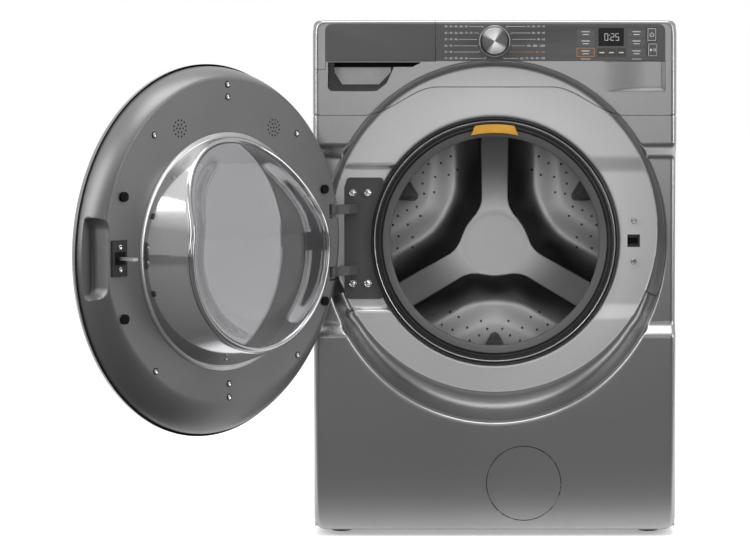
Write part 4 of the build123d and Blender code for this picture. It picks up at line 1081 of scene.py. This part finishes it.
def build_gasket():
    folds = [(236.6, 66), (236.6, 60.5), (234.5, 57.2), (232.4, 60.5), (230.5, 61.5), (228.0, 58.0),
             (226.0, 57.2), (224.5, 60.5), (222.5, 61.0), (220.8, 57.6), (218.8, 57.4), (217.0, 61.0),
             (214.8, 62.0), (214.8, 92.0), (219, 95.0), (224.5, 92.0), (225, 66)]
    # The folds take the darker rubber: painted shade in the gasket's creases.
    body = lathe("gasket_folds", folds, (0, OPENING_Z), "fold", "cabinet", same, 300, 50)
    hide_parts("door_gasket")
    lip = [(215.2, 63.0), (214.8, 59.4), (213.6, 58.0), (212.6, 58.2), (202.4, 60.6), (200.6, 62.0),
           (200.0, 64.5), (200.0, 72.0), (203.0, 73.5), (213.5, 75.0)]
    ring = lathe("gasket_lip", lip, (0, OPENING_Z), "lip", "cabinet", same, 300, 50)
    wire = [(229.7 + 1.25 * math.cos(t), 58.4 + 1.25 * math.sin(t))
            for t in angles(10)]
    clamp = lathe("clamp_wire", wire, (0, OPENING_Z), "steel", "cabinet", same, 300)
    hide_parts("gasket_clamp")
    arc = []
    for r, sweep in ((207.5, 12.6), (224.0, -9.6)):
        for k in range(-10, 11):
            turn = math.radians(90 + k * sweep / 10)
            arc.append((r * math.cos(turn), OPENING_Z + r * math.sin(turn)))
    tab = plate("gasket_label", [arc], 55.2, 57.2, "tab", "cabinet", 0.5)
    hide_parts("gasket_tab")


# ---- controls ----
def text_mesh(name, words, x, z, look, align):
    """Numbers printed on the control film."""
    curve = bpy.data.curves.new(name, "FONT")
    curve.body = words
    curve.size = TEXT_SIZE * MM
    curve.align_x = align
    curve.align_y = "CENTER"
    curve.extrude = 0.04 * MM
    mesh = filled(curve)
    for v in mesh.vertices:
        v.co = place(x + v.co.x / MM, PRINT_DEPTH - v.co.z / MM, z + v.co.y / MM)
    obj = place_in_scene(name, mesh, look, "cabinet")
    return obj


def printed(name, loops, look="print", body="cabinet", depth=PRINT_DEPTH):
    """Flat marks on a film or a key, as one object."""
    mark = join(name, [plate(name, [loop], depth, depth + 0.1, look, body) for loop in loops])
    return mark


def build_knob():
    skirt = lathe("knob_skirt", [(26.2, -1.0), (26.2, -6.0), (27.2, -7.4), (29.4, -7.0), (30.5, -4.8),
                                 (30.4, -0.5)],
                  (0, KNOB_Z), "chrome", "knob", same, 120, 50)
    body = lathe("knob_body", [(24.4, -1.0), (24.4, -18.0), (25.3, -20.0), (25.4, -23.2), (24.4, -24.9),
                               (22.6, -25.2), (0.01, -25.4), (0.01, -1.0)],
                 (0, KNOB_Z), "spun", "knob", same, 160, 30)
    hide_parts("cycle_knob")
    lean = math.radians(106)
    far, near = 24.5, 6.0
    line = printed("knob_pointer", [line_loop(near * math.cos(lean), KNOB_Z + near * math.sin(lean),
                                              far * math.cos(lean), KNOB_Z + far * math.sin(lean), 1.3)],
                   "print", "knob", KNOB_PRINT_DEPTH)


ROWS = (965.1, 952.9, 940.9, 928.7, 917.1, 905.2)
LEFT_WORDS = ("20 - 30 - 40 - 60 - 90", "30 - 40 - 50 - 60 - 75 - 95", "20 - 30 - 40", "60 - 90", "75 - 95",
              "15 - 20 - 30 - 40 - 60")
RIGHT_WORDS = ("15 - 20 - 30 - 45", "20 - 30 - 40", "40 - 60", "400 - 800 - 1400", "90 - 120",
               "60 - 75 - 90 - 95 - 120")
CHOSEN = (1, 5)                          # side and row of the cycle printed in orange


def build_cycle_marks():
    """Generic numbers beside the knob, each with a tick and a line leading to it."""
    loops = {"print": [], "orange": []}
    reach = 33.5
    for side, align, words in ((-1, "LEFT", LEFT_WORDS), (1, "RIGHT", RIGHT_WORDS)):
        for row, (z, word) in enumerate(zip(ROWS, words), 1):
            look = "orange" if (side, row) == CHOSEN else "print"
            text = text_mesh(f"mark_{align[0].lower()}{row}", word, side * 94.5, z, look, align)
            lean = math.asin(max(min((z - KNOB_Z) / (reach + 3), 0.93), -0.93))
            x0, z0 = side * reach * math.cos(lean), KNOB_Z + reach * math.sin(lean)
            x1, z1 = side * (reach + 5) * math.cos(lean), KNOB_Z + (reach + 5) * math.sin(lean)
            loops[look].append(line_loop(x0, z0, x1, z1, 0.7))
            end = side * (min(abs(v.co.x) for v in text.data.vertices) / MM - 3)
            if abs(end) > abs(x1) + 1:
                loops[look].append(line_loop(x1, z, end, z, 0.6))
    printed("cycle_lines", loops["print"])
    printed("cycle_accent", loops["orange"], "orange")


SEGMENTS = {"0": "abcdef", "1": "bc", "2": "abged", "5": "afgcd"}


def digit_loops(x, z, width, height, figure, stroke):
    ends = {"a": (0, 1, 1, 1), "b": (1, 1, 1, 0.5), "c": (1, 0.5, 1, 0), "d": (0, 0, 1, 0),
            "e": (0, 0.5, 0, 0), "f": (0, 1, 0, 0.5), "g": (0, 0.5, 1, 0.5)}
    loops = []
    for key in SEGMENTS[figure]:
        x0, z0, x1, z1 = ends[key]
        loops.append(line_loop(x + x0 * width, z + z0 * height, x + x1 * width, z + z1 * height, stroke))
    return loops


def build_display():
    loops = []
    for x, figure in ((207, "0"), (218.5, "2"), (227.5, "5")):
        loops += digit_loops(x, 939, 5.8, 12.5, figure, 0.85)
    loops += [line_loop(215.2, z, 216.6, z, 1.4) for z in (941.5, 948.5)]
    digits = printed("display_digits", loops, depth=-0.3)


def build_touch_zones():
    """Nine printed pads: two columns beside the display and three tinted pads under it."""
    rows = ((944.2, 961.0), (927.3, 943.2), (907.8, 925.2))
    pads, bars = [], []
    for x0, x1 in ((154.5, 187.5), (250.5, 283.0)):
        for z0, z1 in rows:
            pads.append(rounded_loop(x0, x1, z0 + 0.8, z1 - 0.8, 1.5, 3))
            mid, centre = (z0 + z1) / 2, (x0 + x1) / 2
            for z, half in ((mid + 2.6, 7.5), (mid - 2.6, 5.5)):
                bars.append(line_loop(centre - half, z, centre + half, z, 1.3))
    printed("touch_zones", pads, "pad", depth=-0.25)
    printed("touch_marks", bars)
    tinted, ticks = [], []
    for x0 in (193.0, 211.2, 229.6):
        tinted.append(rounded_loop(x0, x0 + 17.2, 907.8, 924.4, 1.0, 3))
        ticks.append(line_loop(x0 + 4, 916, x0 + 13, 916, 1.8))
    printed("option_zones", tinted, "olive", depth=-0.25)
    printed("option_marks", ticks)
    printed("accent_frame", frame_loops(154.5, 187.5, 908.6, 924.4, 0.8), "orange")
    printed("small_marks", [line_loop(x, 903.9, x + 18, 903.9, 0.9) for x in (162, 258)])


def build_button_marks():
    """Power symbol and start and pause symbol, each in a frame on its key."""
    power = frame_loops(288.0, 302.8, 938.4, 960.9, 0.7)
    arc = [(295.4 + 3.6 * math.sin(math.radians(a)), 949.6 + 3.6 * math.cos(math.radians(a)))
           for a in range(40, 321, 20)]
    power += [line_loop(*a, *b, 0.9) for a, b in zip(arc, arc[1:])]
    power.append(line_loop(295.4, 949.8, 295.4, 954.4, 0.9))
    printed("power_mark", power, "print", "power_key", KEY_PRINT_DEPTH)
    start = frame_loops(289.5, 305.0, 910.0, 932.2, 0.7)
    start += [[(292.5, 918.2), (297.0, 921.1), (292.5, 924.0)]]
    start += [line_loop(x, 918.2, x, 924.0, 1.0) for x in (299.4, 302.0)]
    printed("start_mark", start, "print", "start_key", KEY_PRINT_DEPTH)


# ---- CAD nodes that keep their shape ----
CAD_LOOKS = {
    "paint": ["left_side_panel", "right_side_panel", "top_panel", "filter_cover"],
    "galvanised": ["rear_panel", "rear_access_cover", "base_pan"],
    "strip": ["power_button", "start_button"],
    "screen": ["display_lens"],
    "board": ["control_board"],
    "grey_plastic": ["drawer_tray", "dispenser_housing", "inlet_valve"],
    "blue": ["siphon_caps", "filter_cap"],
    "drum": ["drum_basket"],
    "lifter": ["drum_lifters"],
    "hole": ["door_bumpers"],
    "cast": ["drum_spider", "drum_pulley"],
    "tub": ["tub_front", "tub_rear", "drain_pump"],
    "steel": ["drum_bearings", "heating_element", "motor_pulley", "latch_hook", "suspension_springs"],
    "rubber": ["shaft_seal", "drive_belt", "inner_hoses", "drain_outlet", "cord_gland",
               "foot_1", "foot_2", "foot_3", "foot_4", "latch_plate", "door_lock"],
    "seam": ["drive_motor", "suspension_dampers"],
    "concrete": ["counterweights"],
    "tinted": ["door_window"],
    "chrome": ["cabinet_screws"],
    "hinge": ["hinge_plate", "door_hinge_bracket"],
}


def dress_cad():
    for look, names in CAD_LOOKS.items():
        for name in names:
            obj = bpy.data.objects[name]
            obj.data.materials.clear()
            obj.data.materials.append(LOOK[look])


# ---- studio ----
def build_floor():
    """Pale floor, darker in front of the object so that its lower front doesn't wash out."""
    mesh = bpy.data.meshes.new("studio_floor")
    mesh.from_pydata([(-20, -12, 0), (20, -12, 0), (20, 30, 0), (-20, 30, 0)], [], [(0, 1, 2, 3)])
    floor = bpy.data.objects.new("studio_floor", mesh)
    bpy.context.scene.collection.objects.link(floor)
    material, tree, shader = nodes_of("floor")
    fade = span(tree, axes(tree, coordinates(tree))["Y"], 0.0, 1.0, -0.72, -0.46)
    feed(tree, shader, {"Base Color": ramp(tree, fade, 0.10, 0.88), "Roughness": 0.75,
                        "Emission Strength": span(tree, fade, 0.0, 0.30),
                        "Emission Color": (1, 1, 1, 1)})
    floor.data.materials.append(material)


def build_world():
    """Studio surround: white behind the object, a mid grey room behind the viewer, white overhead."""
    world = bpy.data.worlds.new("studio")
    world.use_nodes = True
    tree = world.node_tree
    sides = axes(tree, coordinates(tree, "Generated"))
    depth = span(tree, sides["Y"], 0.36, 1.0, -0.55, 0.0)
    height = span(tree, sides["Z"], 0.0, 1.0, 0.15, 0.7)
    feed(tree, tree.nodes["Background"], {"Color": (1, 1, 1, 1),
                                          "Strength": calculate(tree, "MAXIMUM", depth, height)})
    bpy.context.scene.world = world
    bpy.context.scene.view_settings.view_transform = "Standard"


def build_lights():
    """Four soft panels: (name, place, aim, width, height, watts)."""
    for name, place_at, aim, width, height, watts in (
            ("key_left", (-2.9, -2.2, 2.0), (0, -0.3, 0.6), 0.9, 2.6, 50),
            ("fill_right", (2.9, -2.0, 1.5), (0, -0.3, 0.5), 0.8, 2.4, 32),
            ("top_soft", (0, -0.6, 3.4), (0, 0, 0.5), 2.6, 1.6, 60),
            ("front_soft", (0.0, -5.9, 1.15), (0, 0, 0.7), 2.2, 1.2, 13)):
        light = bpy.data.lights.new(name, "AREA")
        light.energy = watts
        light.shape = "RECTANGLE"
        light.size = width
        light.size_y = height
        obj = bpy.data.objects.new(name, light)
        obj.location = place_at
        direction = Vector(aim) - Vector(place_at)
        obj.rotation_euler = direction.to_track_quat("-Z", "Y").to_euler()
        bpy.context.scene.collection.objects.link(obj)


def build_camera():
    camera = bpy.data.cameras.new("camera")
    camera.lens = 114.1
    camera.sensor_width = 36.0
    camera.shift_x = -0.1596
    camera.shift_y = -0.0897
    obj = bpy.data.objects.new("camera", camera)
    obj.location = (0, FRONT_Y - CAMERA_DISTANCE, CAMERA_HEIGHT)
    obj.rotation_euler = (math.pi / 2 - CAMERA_PITCH, 0, 0)
    bpy.context.scene.collection.objects.link(obj)
    bpy.context.scene.camera = obj


build_camera()
build_front_panel()
build_filter_seam()
build_console()
build_pull_recess()
build_strips()
build_inner_panel()
build_outer_shell()
build_bowl()
build_window_well()
build_door_details()
build_drum()
build_drum_holes()
build_gasket()
build_strike_details()
build_knob()
build_cycle_marks()
build_display()
build_touch_zones()
build_button_marks()
dress_cad()
build_floor()
build_world()
build_lights()
